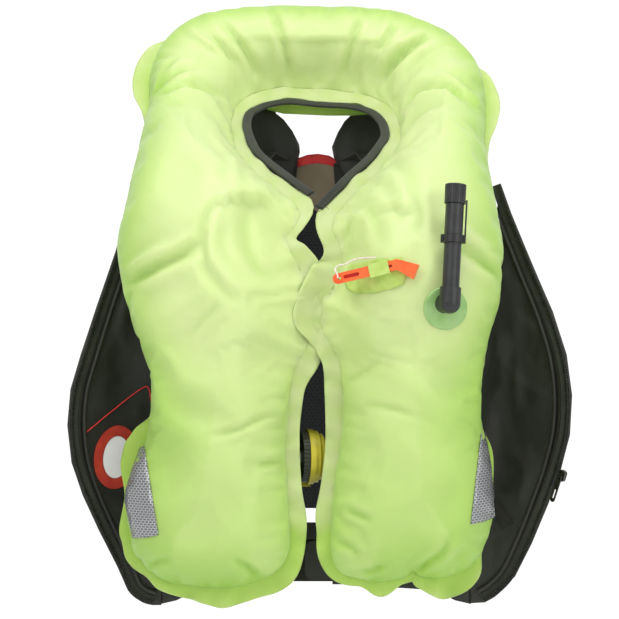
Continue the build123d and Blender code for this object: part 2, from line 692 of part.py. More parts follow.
# ---- Shoulders, neck cover and back -------------------------------------------------------
SHOULDER = [  # (y, z, inner x, outer x, direction of the cloth in y and z)
    (-110.8, -104, 20, 150, (0.1, 1)),
    (-92, -84, 24, 150, (0.75, 0.66)),
    (-44, -50, 40, 158, (0.83, 0.56)),
    (27, -8, 60, 160, (0.88, 0.47)),
    (82, 14, 46, 150, (0.96, 0.1)),
    (112, 2, 21, 140, (0.5, -0.86)),
    (115.4, -36, 24, 118, (0.05, -1)),
]
for side, name in ((-1, "left"), (1, "right")):
    with BuildPart() as shoulder:
        for pair in zip(SHOULDER, SHOULDER[1:]):
            for y, z, x0, x1, (dy, dz) in pair:
                centre = (side * (x0 + x1) / 2, y, z)
                with BuildSketch(Plane(origin=centre, x_dir=(1, 0, 0), z_dir=(0, dy, dz))):
                    Rectangle(x1 - x0, CLOTH)
            loft(ruled=True)
    save(shoulder, f"shoulder_{name}")

YOKE_T = 1.6
YOKE_LOW, YOKE_TOP = -43.0, 12.0
with BuildPart() as yoke:
    with BuildSketch(Plane.XZ.offset(-BACK_Y)):
        with BuildLine():
            Polyline((-26, -6), (-60, -14), (-112, -24), (-112, YOKE_LOW), (112, YOKE_LOW))
            Polyline((112, YOKE_LOW), (112, -24), (60, -14), (26, -6))
            ThreePointArc((26, -6), (0, YOKE_TOP), (-26, -6))
        make_face()
    extrude(amount=-YOKE_T)
save(yoke, "back_yoke")

TRIM_W = 3.6
with BuildPart() as trim:
    with BuildSketch(Plane.XZ.offset(-BACK_Y + 0.9)):
        with BuildLine():
            ThreePointArc((26, -6), (0, YOKE_TOP), (-26, -6))
            Line((-26, -6), (-24, -6 - TRIM_W))
            ThreePointArc((-24, -6 - TRIM_W), (0, YOKE_TOP - TRIM_W), (24, -6 - TRIM_W))
            Line((24, -6 - TRIM_W), (26, -6))
        make_face()
    extrude(amount=0.9 - 0.2)
save(trim, "yoke_trim")

MESH_T = 1.6
MESH_LOW = -400.0
with BuildPart() as mesh:
    with BuildSketch(Plane.XZ.offset(-BACK_Y)):
        Polygon((-118, YOKE_LOW - 0.2), (118, YOKE_LOW - 0.2), (96, MESH_LOW), (-96, MESH_LOW), align=None)
    extrude(amount=-MESH_T)
save(mesh, "back_mesh")

NECK_COVER = [(124, 22), (127, 50), (137, 86), (140, 110), (141, 150)]
with BuildPart() as neck:
    for (y0, z0), (y1, z1) in zip(NECK_COVER, NECK_COVER[1:]):
        with BuildSketch(Plane.YZ):
            Polygon((y0, z0), (y1, z1), (y1 + CLOTH, z1), (y0 + CLOTH, z0), align=None)
        extrude(amount=150, both=True)
    with BuildSketch(Plane.XZ.offset(-200)):
        Polygon(
            (44, 22), (47, 62), (40, 88), (-40, 88), (-47, 62), (-44, 22), (-92, 22), (-112, 60),
            (-124, 100), (-112, 134), (-80, 146), (0, 150), (80, 146), (112, 134), (124, 100),
            (112, 60), (92, 22), align=None,
        )
    extrude(amount=120, mode=Mode.INTERSECT)
save(neck, "cover_neck")

# ---- Waist belt ---------------------------------------------------------------------------
STRAP_X, STRAP_W = 68.0, 38.0
for side, name in ((-1, "left"), (1, "right")):
    with BuildPart() as back_strap:
        box_between(
            (side * STRAP_X - STRAP_W / 2, BELT_BACK + 0.3, BELT_Z - BELT_W / 2),
            (side * STRAP_X + STRAP_W / 2, BELT_BACK + 0.3 + BELT_T, MESH_LOW + 30),
        )
    save(back_strap, f"back_strap_{name}")

BELT_CORNER = 85.0
BELT_LEFT_END, BELT_RIGHT_END = -122.0, -68.0  # the buckle joins these two ends


def belt_piece(low, high):
    """The stretch of belt inside a box given by its lowest and highest x and y."""
    with BuildPart(mode=Mode.PRIVATE) as piece:
        with BuildSketch(Plane.XY.offset(BELT_Z - BELT_W / 2)):
            with Locations((0, (BELT_FRONT + BELT_BACK) / 2)):
                RectangleRounded(2 * BELT_SIDE, BELT_BACK - BELT_FRONT, BELT_CORNER)
                RectangleRounded(
                    2 * (BELT_SIDE - BELT_T),
                    BELT_BACK - BELT_FRONT - 2 * BELT_T,
                    BELT_CORNER - BELT_T,
                    mode=Mode.SUBTRACT,
                )
        extrude(amount=BELT_W)
        box_between((*low, BELT_Z - 100), (*high, BELT_Z + 100), mode=Mode.INTERSECT)
    return piece.part


with BuildPart() as belt_back:
    add(belt_piece((-300, 10.0), (300, 300)))
save(belt_back, "belt_back")
with BuildPart() as belt_left:
    add(belt_piece((-300, -300), (BELT_LEFT_END, 9.8)))
save(belt_left, "belt_front_left")
with BuildPart() as belt_right:
    add(belt_piece((BELT_RIGHT_END, -300), (300, 9.8)))
save(belt_right, "belt_front_right")

# Tail of the belt, folded back over its outside past the adjuster.
TAIL_FROM, TAIL_TO = 8.0, 78.0
with BuildPart() as tail:
    with BuildSketch(Plane.XZ.offset(-BELT_FRONT + 0.6)):
        with Locations(((TAIL_FROM + TAIL_TO) / 2 - 10, BELT_Z)):
            RectangleRounded(TAIL_TO - TAIL_FROM + 20, BELT_W - 4, 9)
    extrude(amount=BELT_T - 0.2)
save(tail, "belt_tail")

# ---- Side-release buckle ------------------------------------------------------------------
BUCKLE_Y = BELT_FRONT + BELT_T / 2
FEMALE_X = (-131.0, -82.0)
MALE_X = (-81.5, -59.0)
BUCKLE_HZ, BUCKLE_HY = 27.0, 6.0
CAVITY_HZ, CAVITY_HY = 21.0, 3.9
WEB_CLEAR = 0.3
PRONG_PIVOT = (-84.6, 15.0)
PRONG_PIN_R, PRONG_CLEAR = 1.3, 0.05
PRONG_T = 2.0
CATCH_X = (-106.0, -97.2)


def buckle_box(x, z, y, mode=Mode.ADD):
    """A box in the buckle; z and y count from the belt's middle."""
    with Locations(((x[0] + x[1]) / 2, BUCKLE_Y + (y[0] + y[1]) / 2, BELT_Z + (z[0] + z[1]) / 2)):
        return Box(x[1] - x[0], y[1] - y[0], z[1] - z[0], mode=mode)


web = (-BELT_T / 2 - WEB_CLEAR, BELT_T / 2 + WEB_CLEAR)
web_z = (-BELT_W / 2 - WEB_CLEAR, BELT_W / 2 + WEB_CLEAR)
cavity_z, cavity_y = (-CAVITY_HZ, CAVITY_HZ), (-CAVITY_HY, CAVITY_HY)

with BuildPart() as female:
    with Locations((sum(FEMALE_X) / 2, BUCKLE_Y, BELT_Z)):
        Box(FEMALE_X[1] - FEMALE_X[0], 2 * BUCKLE_HY, 2 * BUCKLE_HZ)
    fillet(female.edges().filter_by(Axis.Y), 5)
    with Locations(((FEMALE_X[0] + BELT_LEFT_END) / 2 - 0.5, BUCKLE_Y, BELT_Z)):
        Box(BELT_LEFT_END - FEMALE_X[0] + 2, web[1] * 2, web_z[1] * 2, mode=Mode.SUBTRACT)
    with Locations((-96.0, BUCKLE_Y, BELT_Z)):
        Box(32, 2 * CAVITY_HY, 2 * CAVITY_HZ, mode=Mode.SUBTRACT)
    with Locations((-101.6, BUCKLE_Y, BELT_Z)):
        Box(10.4, 2 * CAVITY_HY, 2 * BUCKLE_HZ + 2, mode=Mode.SUBTRACT)
save(female, "buckle_female")

with BuildPart() as male:
    with Locations((sum(MALE_X) / 2, BUCKLE_Y, BELT_Z)):
        Box(MALE_X[1] - MALE_X[0], 2 * BUCKLE_HY - 1, 2 * BUCKLE_HZ)
    fillet(male.edges().filter_by(Axis.Y), 4)
    with Locations(((MALE_X[1] + BELT_RIGHT_END) / 2 + 0.5, BUCKLE_Y, BELT_Z)):
        Box(MALE_X[1] - BELT_RIGHT_END + 2, web[1] * 2, web_z[1] * 2, mode=Mode.SUBTRACT)
    with Locations(((MALE_X[0] - 110) / 2, BUCKLE_Y, BELT_Z)):
        Box(110 + MALE_X[0] + 1, 6.8, 10)
    for side in (-1, 1):
        for face in (-1, 1):
            centre = (-84.6, BUCKLE_Y + face * 2.95, BELT_Z + side * PRONG_PIVOT[1])
            with Locations(centre):
                Box(7.2, 1.3, 7.2)
    with BuildSketch(Plane.XZ.offset(-BUCKLE_Y)):
        with Locations(*[(PRONG_PIVOT[0], BELT_Z + side * PRONG_PIVOT[1]) for side in (-1, 1)]):
            Circle(PRONG_PIN_R + PRONG_CLEAR)
    extrude(amount=5, both=True, mode=Mode.SUBTRACT)
save(male, "buckle_male")

for side, name in ((-1, "lower"), (1, "upper")):
    with BuildPart() as prong:
        with BuildSketch(Plane.XZ.offset(-BUCKLE_Y)):
            with Locations((PRONG_PIVOT[0], BELT_Z + side * PRONG_PIVOT[1])):
                Circle(2.6)
            Polygon(
                *[
                    (x, BELT_Z + side * z)
                    for x, z in (
                        (PRONG_PIVOT[0], 13.2), (PRONG_PIVOT[0], 17.2), (CATCH_X[1], 18.2),
                        (CATCH_X[1], 24.6), (CATCH_X[1] - 3, 24.6), (CATCH_X[0], 19.0),
                        (CATCH_X[0], 14.6),
                    )
                ],
                align=None,
            )
        extrude(amount=PRONG_T, both=True)
        with BuildSketch(Plane.XZ.offset(-BUCKLE_Y)):
            with Locations((PRONG_PIVOT[0], BELT_Z + side * PRONG_PIVOT[1])):
                Circle(PRONG_PIN_R)
        extrude(amount=3.4, both=True)
    save(prong, f"buckle_prong_{name}")

# ---- Belt adjuster and keeper -------------------------------------------------------------
TAIL_OUT = BELT_FRONT - 0.6 - (BELT_T - 0.2)  # outer face of the tail
for name, x0, x1, wall in (("belt_adjuster", 18.0, 42.0, 2.4), ("belt_keeper", 58.0, 68.0, 1.2)):
    with BuildPart() as ring:
        y0, y1 = TAIL_OUT - 0.35, BELT_FRONT + BELT_T + 0.35
        half = BELT_W / 2 + 0.35
        box_between((x0, y0 - wall, BELT_Z - half - wall), (x1, y1 + wall, BELT_Z + half + wall))
        box_between((x0 - 1, y0, BELT_Z - half), (x1 + 1, y1, BELT_Z + half), mode=Mode.SUBTRACT)
    save(ring, name)
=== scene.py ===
"""Looks for the life jacket: the chamber, its cover, belt and fittings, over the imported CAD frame."""

import math

import bmesh
import bpy
import numpy as np
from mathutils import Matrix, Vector, noise
from mathutils.bvhtree import BVHTree
from mathutils.geometry import delaunay_2d_cdt


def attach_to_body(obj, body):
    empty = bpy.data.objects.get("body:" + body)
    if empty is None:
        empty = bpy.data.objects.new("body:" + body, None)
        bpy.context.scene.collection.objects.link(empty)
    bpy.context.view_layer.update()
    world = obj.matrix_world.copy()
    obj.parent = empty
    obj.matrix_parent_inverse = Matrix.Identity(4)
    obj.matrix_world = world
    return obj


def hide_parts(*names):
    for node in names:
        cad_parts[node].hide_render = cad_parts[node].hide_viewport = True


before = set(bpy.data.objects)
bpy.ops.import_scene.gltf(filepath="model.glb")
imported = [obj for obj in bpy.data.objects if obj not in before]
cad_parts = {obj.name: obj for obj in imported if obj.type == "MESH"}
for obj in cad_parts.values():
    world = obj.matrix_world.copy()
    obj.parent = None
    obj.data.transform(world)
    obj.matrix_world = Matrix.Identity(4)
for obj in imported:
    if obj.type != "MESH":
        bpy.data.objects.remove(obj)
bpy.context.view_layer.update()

# ---- Camera and stage ---------------------------------------------------------------------
PLANE_Y = -0.180  # outlines below are drawn in this plane, as the camera sees it
CAM = Vector((-0.0068, -2.780, -0.1675))
DIST = PLANE_Y - CAM.y

cam_data = bpy.data.cameras.new("camera")
cam_data.lens, cam_data.sensor_width = 144.0, 36.0
cam_data.clip_start, cam_data.clip_end = 0.05, 60
camera = bpy.data.objects.new("camera", cam_data)
bpy.context.scene.collection.objects.link(camera)
camera.location = CAM
camera.rotation_euler = (math.pi / 2, 0, 0)
bpy.context.scene.camera = camera


def seen(x, z, y):
    """The point at depth y that the camera sees at (x, z) of the drawing plane; arrays too."""
    f = DIST / (DIST + (y - PLANE_Y))
    return CAM.x + (x - CAM.x) / f, y, CAM.z + (z - CAM.z) / f


# ---- Small helpers ------------------------------------------------------------------------
MM = 0.001


def unit(v):
    """Vectors along the last axis, each scaled to length 1."""
    return v / np.linalg.norm(v, axis=-1, keepdims=True)


def smoothstep(a, b, x):
    t = np.clip((np.asarray(x, float) - a) / (b - a), 0, 1)
    return t * t * (3 - 2 * t)


def catmull(points, n, closed=False):
    """n points along a smooth curve through the given ones, evenly spaced by length."""
    p = np.asarray(points, float)
    if closed:
        p = np.vstack([p[-1], p, p[0], p[1]])
    else:
        p = np.vstack([2 * p[0] - p[1], p, 2 * p[-1] - p[-2]])
    out = []
    for i in range(1, len(p) - 2):
        t = np.linspace(0, 1, 16, endpoint=False)[:, None]
        a, b, c, d = p[i - 1], p[i], p[i + 1], p[i + 2]
        out.append(
            0.5 * (2 * b + (c - a) * t + (2 * a - 5 * b + 4 * c - d) * t**2
                   + (3 * b - a - 3 * c + d) * t**3)
        )
    if not closed:
        out.append(p[-2][None])
    q = np.vstack(out)
    if closed:
        q = np.vstack([q, q[0]])
    s = np.r_[0, np.cumsum(np.linalg.norm(np.diff(q, axis=0), axis=1))]
    w = np.linspace(0, s[-1], n + 1 if closed else n)
    r = np.stack([np.interp(w, s, q[:, k]) for k in range(q.shape[1])], 1)
    return r[:-1] if closed else r


def seg_distance(pts, line, closed=False):
    """Distance from points to a polyline, and how far along it the nearest place is."""
    line = np.asarray(line, float)
    a = line
    b = np.roll(line, -1, 0)
    if not closed:
        a, b = line[:-1], line[1:]
    lengths = np.linalg.norm(b - a, axis=1)
    start = np.r_[0, np.cumsum(lengths)[:-1]]
    best = np.full(len(pts), 1e9)
    along = np.zeros(len(pts))
    for i in range(len(a)):
        d = b[i] - a[i]
        t = np.clip(((pts - a[i]) @ d) / max(d @ d, 1e-18), 0, 1)
        q = pts - (a[i] + t[:, None] * d)
        r = np.hypot(q[:, 0], q[:, 1])
        near = r < best
        best = np.where(near, r, best)
        along = np.where(near, start[i] + t * lengths[i], along)
    return best, along


def inside(pts, poly):
    """Even-odd test of points against a closed polygon."""
    poly = np.asarray(poly, float)
    x, y = pts[:, 0], pts[:, 1]
    hit = np.zeros(len(pts), bool)
    j = len(poly) - 1
    for i in range(len(poly)):
        xi, yi = poly[i]
        xj, yj = poly[j]
        cross = (yi > y) != (yj > y)
        with np.errstate(divide="ignore", invalid="ignore"):
            at = (xj - xi) * (y - yi) / (yj - yi) + xi
        hit ^= cross & (x < at)
        j = i
    return hit


def new_mesh(name, verts, faces, smooth=True):
    me = bpy.data.meshes.new(name)
    me.from_pydata([tuple(map(float, v)) for v in verts], [], [tuple(map(int, f)) for f in faces])
    me.update()
    if smooth:
        me.shade_smooth()
    ob = bpy.data.objects.new(name, me)
    bpy.context.scene.collection.objects.link(ob)
    return ob


def thicken(ob, thick):
    """Gives a sheet its thickness, half on each side."""
    solid = ob.modifiers.new("thick", "SOLIDIFY")
    solid.thickness, solid.offset = thick, 0.0
    dg = bpy.context.evaluated_depsgraph_get()
    me = bpy.data.meshes.new_from_object(ob.evaluated_get(dg), depsgraph=dg)
    old = ob.data
    ob.modifiers.clear()
    ob.data = me
    bpy.data.meshes.remove(old)
    return ob


def wobble(s, seed, scales):
    """Smooth noise along a length, as a sum of sines with seeded phases; scales are (size, amount)."""
    r = np.random.default_rng(seed)
    out = np.zeros_like(np.asarray(s, float))
    for size, amount in scales:
        for k in (0.8, 1.0, 1.27):
            out += amount / 3 * np.sin(2 * np.pi * s / (size * k) + r.uniform(0, 6.28))
    return out


# ---- Materials ----------------------------------------------------------------------------
def srgb(r, g, b):
    return tuple((c / 255 / 12.92 if c / 255 <= 0.04045 else ((c / 255 + 0.055) / 1.055) ** 2.4)
                 for c in (r, g, b)) + (1.0,)


class Mat:
    """A small builder for node materials, in object coordinates."""

    def __init__(self, name, rough=0.5, metallic=0.0, spec=0.5, sheen=0.0):
        self.name = name  # Blender may add a number to its own
        self.m = bpy.data.materials.new(name)
        self.m.use_nodes = True
        self.t = self.m.node_tree
        self.b = self.t.nodes["Principled BSDF"]
        for key, value in (("Roughness", rough), ("Metallic", metallic), ("Specular IOR Level", spec),
                           ("Sheen Weight", sheen)):
            self.b.inputs[key].default_value = value
        self.coord = self.t.nodes.new("ShaderNodeTexCoord").outputs["Object"]

    def node(self, kind, **inputs):
        n = self.t.nodes.new(kind)
        for k, v in inputs.items():
            key = k.replace("_", " ")
            if key in n.inputs:
                self.put(n.inputs[key], v)
            else:
                setattr(n, k, v)
        return n

    def put(self, socket, v):
        if isinstance(v, bpy.types.NodeSocket):
            self.t.links.new(v, socket)
        else:
            socket.default_value = v

    def noise(self, scale, detail=3.0, rough=0.5, stretch=None, distortion=0.0):
        src = self.coord
        if stretch:
            src = self.node("ShaderNodeMapping", Vector=src, Scale=stretch).outputs["Vector"]
        n = self.node("ShaderNodeTexNoise", Vector=src, Scale=scale, Detail=detail,
                      Roughness=rough, Distortion=distortion)
        return n.outputs["Fac"]

    def ramp(self, fac, stops):
        n = self.t.nodes.new("ShaderNodeValToRGB")
        e = n.color_ramp.elements
        while len(e) < len(stops):
            e.new(0.5)
        for i, (p, c) in enumerate(stops):
            e[i].position, e[i].color = p, c
        self.put(n.inputs["Fac"], fac)
        return n.outputs["Color"]

    def math(self, op, a, b=0.0, c=0.0):
        n = self.t.nodes.new("ShaderNodeMath")
        n.operation = op
        for s, v in zip(n.inputs, (a, b, c)):
            self.put(s, v)
        return n.outputs[0]

    def mix(self, fac, a, b, mode="MIX"):
        n = self.t.nodes.new("ShaderNodeMix")
        n.data_type, n.blend_type = "RGBA", mode
        self.put(n.inputs[0], fac)
        self.put(n.inputs[6], a)
        self.put(n.inputs[7], b)
        return n.outputs[2]

    def attr(self, name):
        return self.node("ShaderNodeAttribute", attribute_name=name).outputs["Fac"]

    def colour(self, v):
        self.put(self.b.inputs["Base Color"], v)
        return self

    def bump(self, height, distance=0.0005, strength=0.6):
        n = self.node("ShaderNodeBump", Height=height, Distance=distance, Strength=strength)
        if self.b.inputs["Normal"].is_linked:
            self.put(n.inputs["Normal"], self.b.inputs["Normal"].links[0].from_socket)
        self.put(self.b.inputs["Normal"], n.outputs["Normal"])
        return self

    def glow(self, weight, radius):
        """Light that scatters inside the material."""
        self.b.inputs["Subsurface Weight"].default_value = weight
        self.b.inputs["Subsurface Radius"].default_value = radius
        self.b.inputs["Subsurface Scale"].default_value = 1.0

    def weave(self, size, depth=0.0003, axes="XZ"):
        """Fine over-and-under threads of this size along two axes."""
        sep = self.node("ShaderNodeSeparateXYZ", Vector=self.coord)
        u, v = (sep.outputs[a] for a in axes)
        k = 2 * math.pi / size
        su = self.math("SINE", self.math("MULTIPLY", u, k))
        sv = self.math("SINE", self.math("MULTIPLY", v, k))
        self.bump(self.math("MULTIPLY", su, sv), depth, 0.5)

    def staggered(self, **mapping):
        """Place in its cell, from the middle, in rows where every second one is shifted by half."""
        at = self.node("ShaderNodeMapping", Vector=self.coord, **mapping)
        sep = self.node("ShaderNodeSeparateXYZ", Vector=at.outputs["Vector"])
        u, v = sep.outputs["X"], sep.outputs["Z"]
        row = self.math("FLOOR", self.math("ADD", v, 1000.0))  # an even number, so rows stay positive
        shift = self.math("MULTIPLY", self.math("MODULO", row, 2.0), 0.5)
        across = self.math("FRACT", self.math("ADD", u, shift))
        return self.math("SUBTRACT", across, 0.5), self.math("SUBTRACT", self.math("FRACT", v), 0.5)


def mottled(name, clouds, dark, light, weave=None, bump=None, **settings):
    """A material between two tones; clouds and the first item of bump are settings of noise()."""
    m = Mat(name, **settings)
    m.colour(m.ramp(m.noise(*clouds), [(0.3, srgb(*dark)), (0.7, srgb(*light))]))
    if weave:
        m.weave(*weave)
    if bump:
        m.bump(m.noise(*bump[0]), *bump[1:])
    return m


def mesh_material():
    m = Mat("mesh_cloth", rough=0.8)
    u, v = m.staggered(Scale=(190, 1, 265))
    radius = m.math("SQRT", m.math("ADD", m.math("MULTIPLY", u, u), m.math("MULTIPLY", v, v)))
    # Painted shade: the holes are drawn near black for the dark seen through them, and the threads keep their
    # own dark grey.
    m.colour(m.ramp(radius, [(0.24, srgb(7, 9, 10)), (0.34, srgb(30, 33, 34)), (0.6, srgb(24, 27, 28))]))
    return m.bump(radius, 0.0012, 0.8)


def reflective_material():
    m = Mat("reflective_silver", rough=0.35, metallic=0.35)
    u, v = m.staggered(Scale=(240, 1, 385), Rotation=(0, 0.06, 0))
    cell = m.math("MAXIMUM", m.math("ABSOLUTE", u), m.math("ABSOLUTE", v))
    m.colour(m.ramp(cell, [(0.34, srgb(112, 114, 116)), (0.43, srgb(186, 188, 188))]))
    return m.bump(cell, 0.0004, 0.4).bump(m.noise(60, 3), 0.0006, 0.3)


LOOKS = {m.name: m for m in (
    mottled("cover_nylon", (11, 5), (24, 25, 19), (37, 39, 29), (0.0009, 0.00012),
            ((55, 6, 0.6), 0.0015, 0.35), rough=0.42, sheen=0.05),
    mottled("belt_webbing", (60, 4), (28, 30, 23), (44, 46, 35), (0.0026, 0.0006),
            ((220, 3), 0.0003, 0.4), rough=0.75, spec=0.25, sheen=0.1),
    mottled("binding_tape", (30, 4), (34, 37, 29), (50, 54, 43), (0.0014, 0.00025),
            ((90, 4), 0.0005, 0.4), rough=0.7, spec=0.3, sheen=0.2),
    mottled("lanyard_braid", (300, 3), (222, 205, 196), (244, 234, 226), (0.0012, 0.0003, "XY"), rough=0.7),
    mottled("elastic_loop", (80, 4), (178, 208, 92), (204, 226, 128), (0.0013, 0.0003),
            ((300, 3), 0.0003, 0.3), rough=0.65, sheen=0.1),
    mottled("window_red", (60, 4), (172, 36, 20), (206, 62, 32), (0.0011, 0.0002),
            ((150, 3), 0.0003, 0.3), sheen=0.1),
    mottled("yoke_red_trim", (60, 4), (214, 34, 38), (236, 58, 54), (0.0011, 0.0002), rough=0.55, sheen=0.1),
    mottled("yoke_grey_cloth", (24, 5), (128, 115, 92), (150, 136, 112), (0.0013, 0.0003),
            ((120, 4), 0.0005, 0.3), rough=0.8, sheen=0.15),
    mottled("steel", (120, 4, 0.5, (1, 1, 8)), (150, 151, 152), (182, 183, 184), None,
            ((300, 3, 0.5, (1, 1, 12)), 0.0001, 0.3), rough=0.3, metallic=1.0),
    mottled("zip_metal", (120, 3), (66, 66, 62), (96, 96, 90), None, ((500, 3), 0.0001, 0.3),
            rough=0.4, metallic=1.0),
    mesh_material(), reflective_material(),
)}
# Threads, plastics and films: mottling, two tones, grain, its depth and strength, and roughness.
for name, clouds, dark, light, grain, deep, strength, rough in (
    ("stitch_thread", (200, 2), (72, 76, 62), (98, 101, 84), (900, 2), 0.0002, 0.5, 0.6),
    ("dark_thread", (200, 2), (48, 50, 40), (66, 68, 56), (900, 2), 0.0002, 0.5, 0.6),
    ("zip_plastic", (120, 2), (30, 31, 27), (48, 49, 44), (400, 2), 0.0002, 0.3, 0.35),
    ("black_plastic", (80, 3), (27, 28, 26), (36, 37, 35), (600, 3), 0.0002, 0.25, 0.38),
    ("oral_rubber", (70, 4), (30, 31, 31), (44, 45, 45), (500, 3), 0.0002, 0.25, 0.42),
    ("valve_plastic", (90, 3), (32, 33, 33), (46, 47, 47), (500, 3), 0.0002, 0.25, 0.4),
    ("whistle_plastic", (60, 3), (240, 92, 38), (250, 116, 58), (400, 3), 0.0002, 0.2, 0.3),
    # painted shade: the whistle's orange plastic as it looks deep in its recesses
    ("whistle_recess_shade", (120, 3), (196, 30, 34), (222, 52, 48), (500, 3), 0.0002, 0.3, 0.35),
    ("welded_patch", (40, 4), (138, 190, 100), (168, 210, 134), (200, 4), 0.0004, 0.3, 0.3),
    ("inflator_yellow", (70, 3), (190, 178, 34), (214, 202, 58), (500, 3), 0.0002, 0.25, 0.38),
    ("ring_dark_green", (70, 3), (34, 42, 18), (50, 58, 30), (500, 3), 0.0002, 0.3, 0.42),
    ("window_film", (18, 3), (244, 243, 242), (252, 251, 251), (40, 3), 0.0006, 0.25, 0.18),
):
    LOOKS[name] = mottled(name, clouds, dark, light, None, (grain, deep, strength), rough=rough)
LOOKS["window_film"].b.inputs["Specular IOR Level"].default_value = 0.6
LOOKS["whistle_plastic"].glow(0.1, (0.004, 0.002, 0.001))
LOOKS["welded_patch"].glow(0.2, (0.01, 0.015, 0.008))


def attach(piece, look, slot, *stands_for, body="jacket"):
    """Gives a piece its material and body, and hides the CAD nodes it stands for; slot is not used."""
    piece.data.materials.clear()
    piece.data.materials.append((LOOKS[look] if isinstance(look, str) else look).m)
    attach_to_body(piece, body)
    if stands_for:
        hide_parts(*stands_for)
    return piece


def set_tone(ob, value):
    """Writes the vertex attribute depth, painted light and shade that the green materials read as light (1)
    or as deep, shaded green (0).
    """
    attribute = ob.data.attributes.new("depth", "FLOAT", "POINT")
    attribute.data.foreach_set("value", np.asarray(value, np.float32))


def chamber_material(name, light, mid, deep):
    m = Mat(name, rough=0.42, spec=0.35, sheen=0.15)
    m.glow(0.25, (0.02, 0.03, 0.01))
    # Painted shade: the depth attribute picks between the light, mid and deep greens.
    body = m.ramp(m.attr("depth"), [(0.0, deep), (0.5, mid), (1.0, light)])
    mottle = m.ramp(m.noise(9.0, 4.0), [(0.35, (0.93, 0.95, 0.9, 1)), (0.7, (1, 1, 1, 1))])
    m.colour(m.mix(1.0, body, mottle, "MULTIPLY"))
    m.weave(0.0011, 0.00006)
    m.bump(m.noise(34.0, 5.0, 0.55), 0.0012, 0.25)
    return m


# ---- Gas chamber --------------------------------------------------------------------------
OUTER_RIGHT = [
    (4, 149), (46, 148), (83, 143), (114, 132), (138, 119), (154, 103), (167, 86), (174, 69), (177, 52),
    (178, 32), (177, 0), (181, -26), (184, -42), (187, -58), (190, -84), (191, -105), (189, -131),
    (186, -158), (182, -176), (176, -194), (172, -215), (169, -236), (168, -257), (169, -278), (173, -293),
    (178, -308), (182, -325), (184, -346), (185, -373), (183, -390), (180, -404), (175, -417),
    (168, -430),
]
BOTTOM_RIGHT = [
    (160, -438), (146, -446), (125, -450), (109, -448), (101, -443), (92, -449), (67, -454), (44, -450),
    (27, -445), (18, -432), (15, -416),
]
INNER_RIGHT = [
    (16, -399), (17, -368), (21, -336), (26, -304), (28, -278), (28, -257), (25, -230), (17, -209),
    (6, -190), (4, -170), (6, -158), (15, -146), (23, -131), (27, -113), (22, -97), (16, -82), (23, -64),
]
NECK = [
    (44, -42), (67, -20), (85, 3), (88, 20), (82, 39), (65, 52), (38, 60), (4, 63), (-27, 65),
    (-55, 62), (-77, 52), (-86, 39), (-88, 19), (-80, -5), (-65, -22), (-35, -46),
]
INNER_LEFT = [
    (-17, -63), (-20, -78), (-30, -92), (-24, -109), (-15, -126), (-8, -147), (-6, -173), (-8, -203),
    (-17, -223), (-22, -233), (-26, -247), (-28, -262), (-30, -284), (-32, -315), (-30, -346),
    (-29, -373), (-27, -399), (-28, -420), (-36, -437),
]
BOTTOM_LEFT = [
    (-52, -449), (-75, -457), (-101, -460), (-127, -458), (-150, -455), (-166, -448), (-179, -437),
    (-188, -424),
]
OUTER_LEFT = [
    (-193, -405), (-197, -387), (-198, -368), (-197, -352), (-191, -334), (-183, -317), (-177, -304),
    (-172, -289), (-170, -273), (-169, -257), (-169, -242), (-171, -226), (-175, -212), (-180, -200),
    (-186, -184), (-190, -166), (-194, -147), (-198, -128), (-201, -110), (-202, -94), (-200, -76),
    (-197, -58), (-194, -40), (-190, -23), (-186, -8), (-182, 10), (-177, 26), (-175, 42), (-175, 61),
    (-173, 76), (-169, 90), (-163, 103), (-153, 116), (-141, 127), (-122, 138), (-96, 145), (-59, 149),
    (-27, 150),
]
SEAM = catmull(
    OUTER_RIGHT + BOTTOM_RIGHT + INNER_RIGHT + NECK + INNER_LEFT + BOTTOM_LEFT + OUTER_LEFT,
    760, closed=True,
) * MM
SEAM = SEAM[::-1]  # anticlockwise


def mid_depth(x, z):
    """Depth of the sheet midway between the chamber's front and back, over the drawing plane."""
    side = np.interp(z, [-0.5, -0.126, -0.082, -0.04, -0.005, 0.025, 0.064, 0.091, 0.115, 0.16],
                     [-0.185, -0.183, -0.172, -0.136, -0.085, -0.02, 0.045, 0.068, 0.08, 0.09])
    centre = np.interp(z, [-0.5, -0.126, -0.082, -0.04, -0.005, 0.025, 0.054, 0.16],
                       [-0.185, -0.182, -0.172, -0.136, -0.075, 0.0, 0.07, 0.092])
    w = smoothstep(0.03, 0.13, np.abs(x))
    y = centre * (1 - w) + side * w
    low = smoothstep(-0.02, -0.12, z)
    return y + 0.022 * low * (np.abs(x) / 0.19) ** 3


def place(x, z, h):
    """3D points off the mid sheet by h along its normal (towards the front when h is positive)."""
    e = 0.002  # half the span over which the normal is measured

    def at(a, b):
        return np.stack(seen(a, b, smooth_depth(a, b)), -1)

    p = at(x, z)
    n = unit(np.cross(at(x + e, z) - at(x - e, z), at(x, z + e) - at(x, z - e)))
    n *= np.where(n[..., 1:2] > 0, -1, 1)
    return p + n * np.asarray(h)[..., None]


# The mid sheet is sampled on a grid and smoothed once, so its normals turn gently.
GX, GZ = np.linspace(-0.26, 0.26, 131), np.linspace(-0.56, 0.24, 201)
mid_grid = mid_depth(*np.meshgrid(GX, GZ))
for _ in range(60):
    p = np.pad(mid_grid, 1, mode="edge")
    mid_grid = (p[1:-1, :-2] + p[1:-1, 2:] + p[:-2, 1:-1] + p[2:, 1:-1] + 4 * mid_grid) / 8


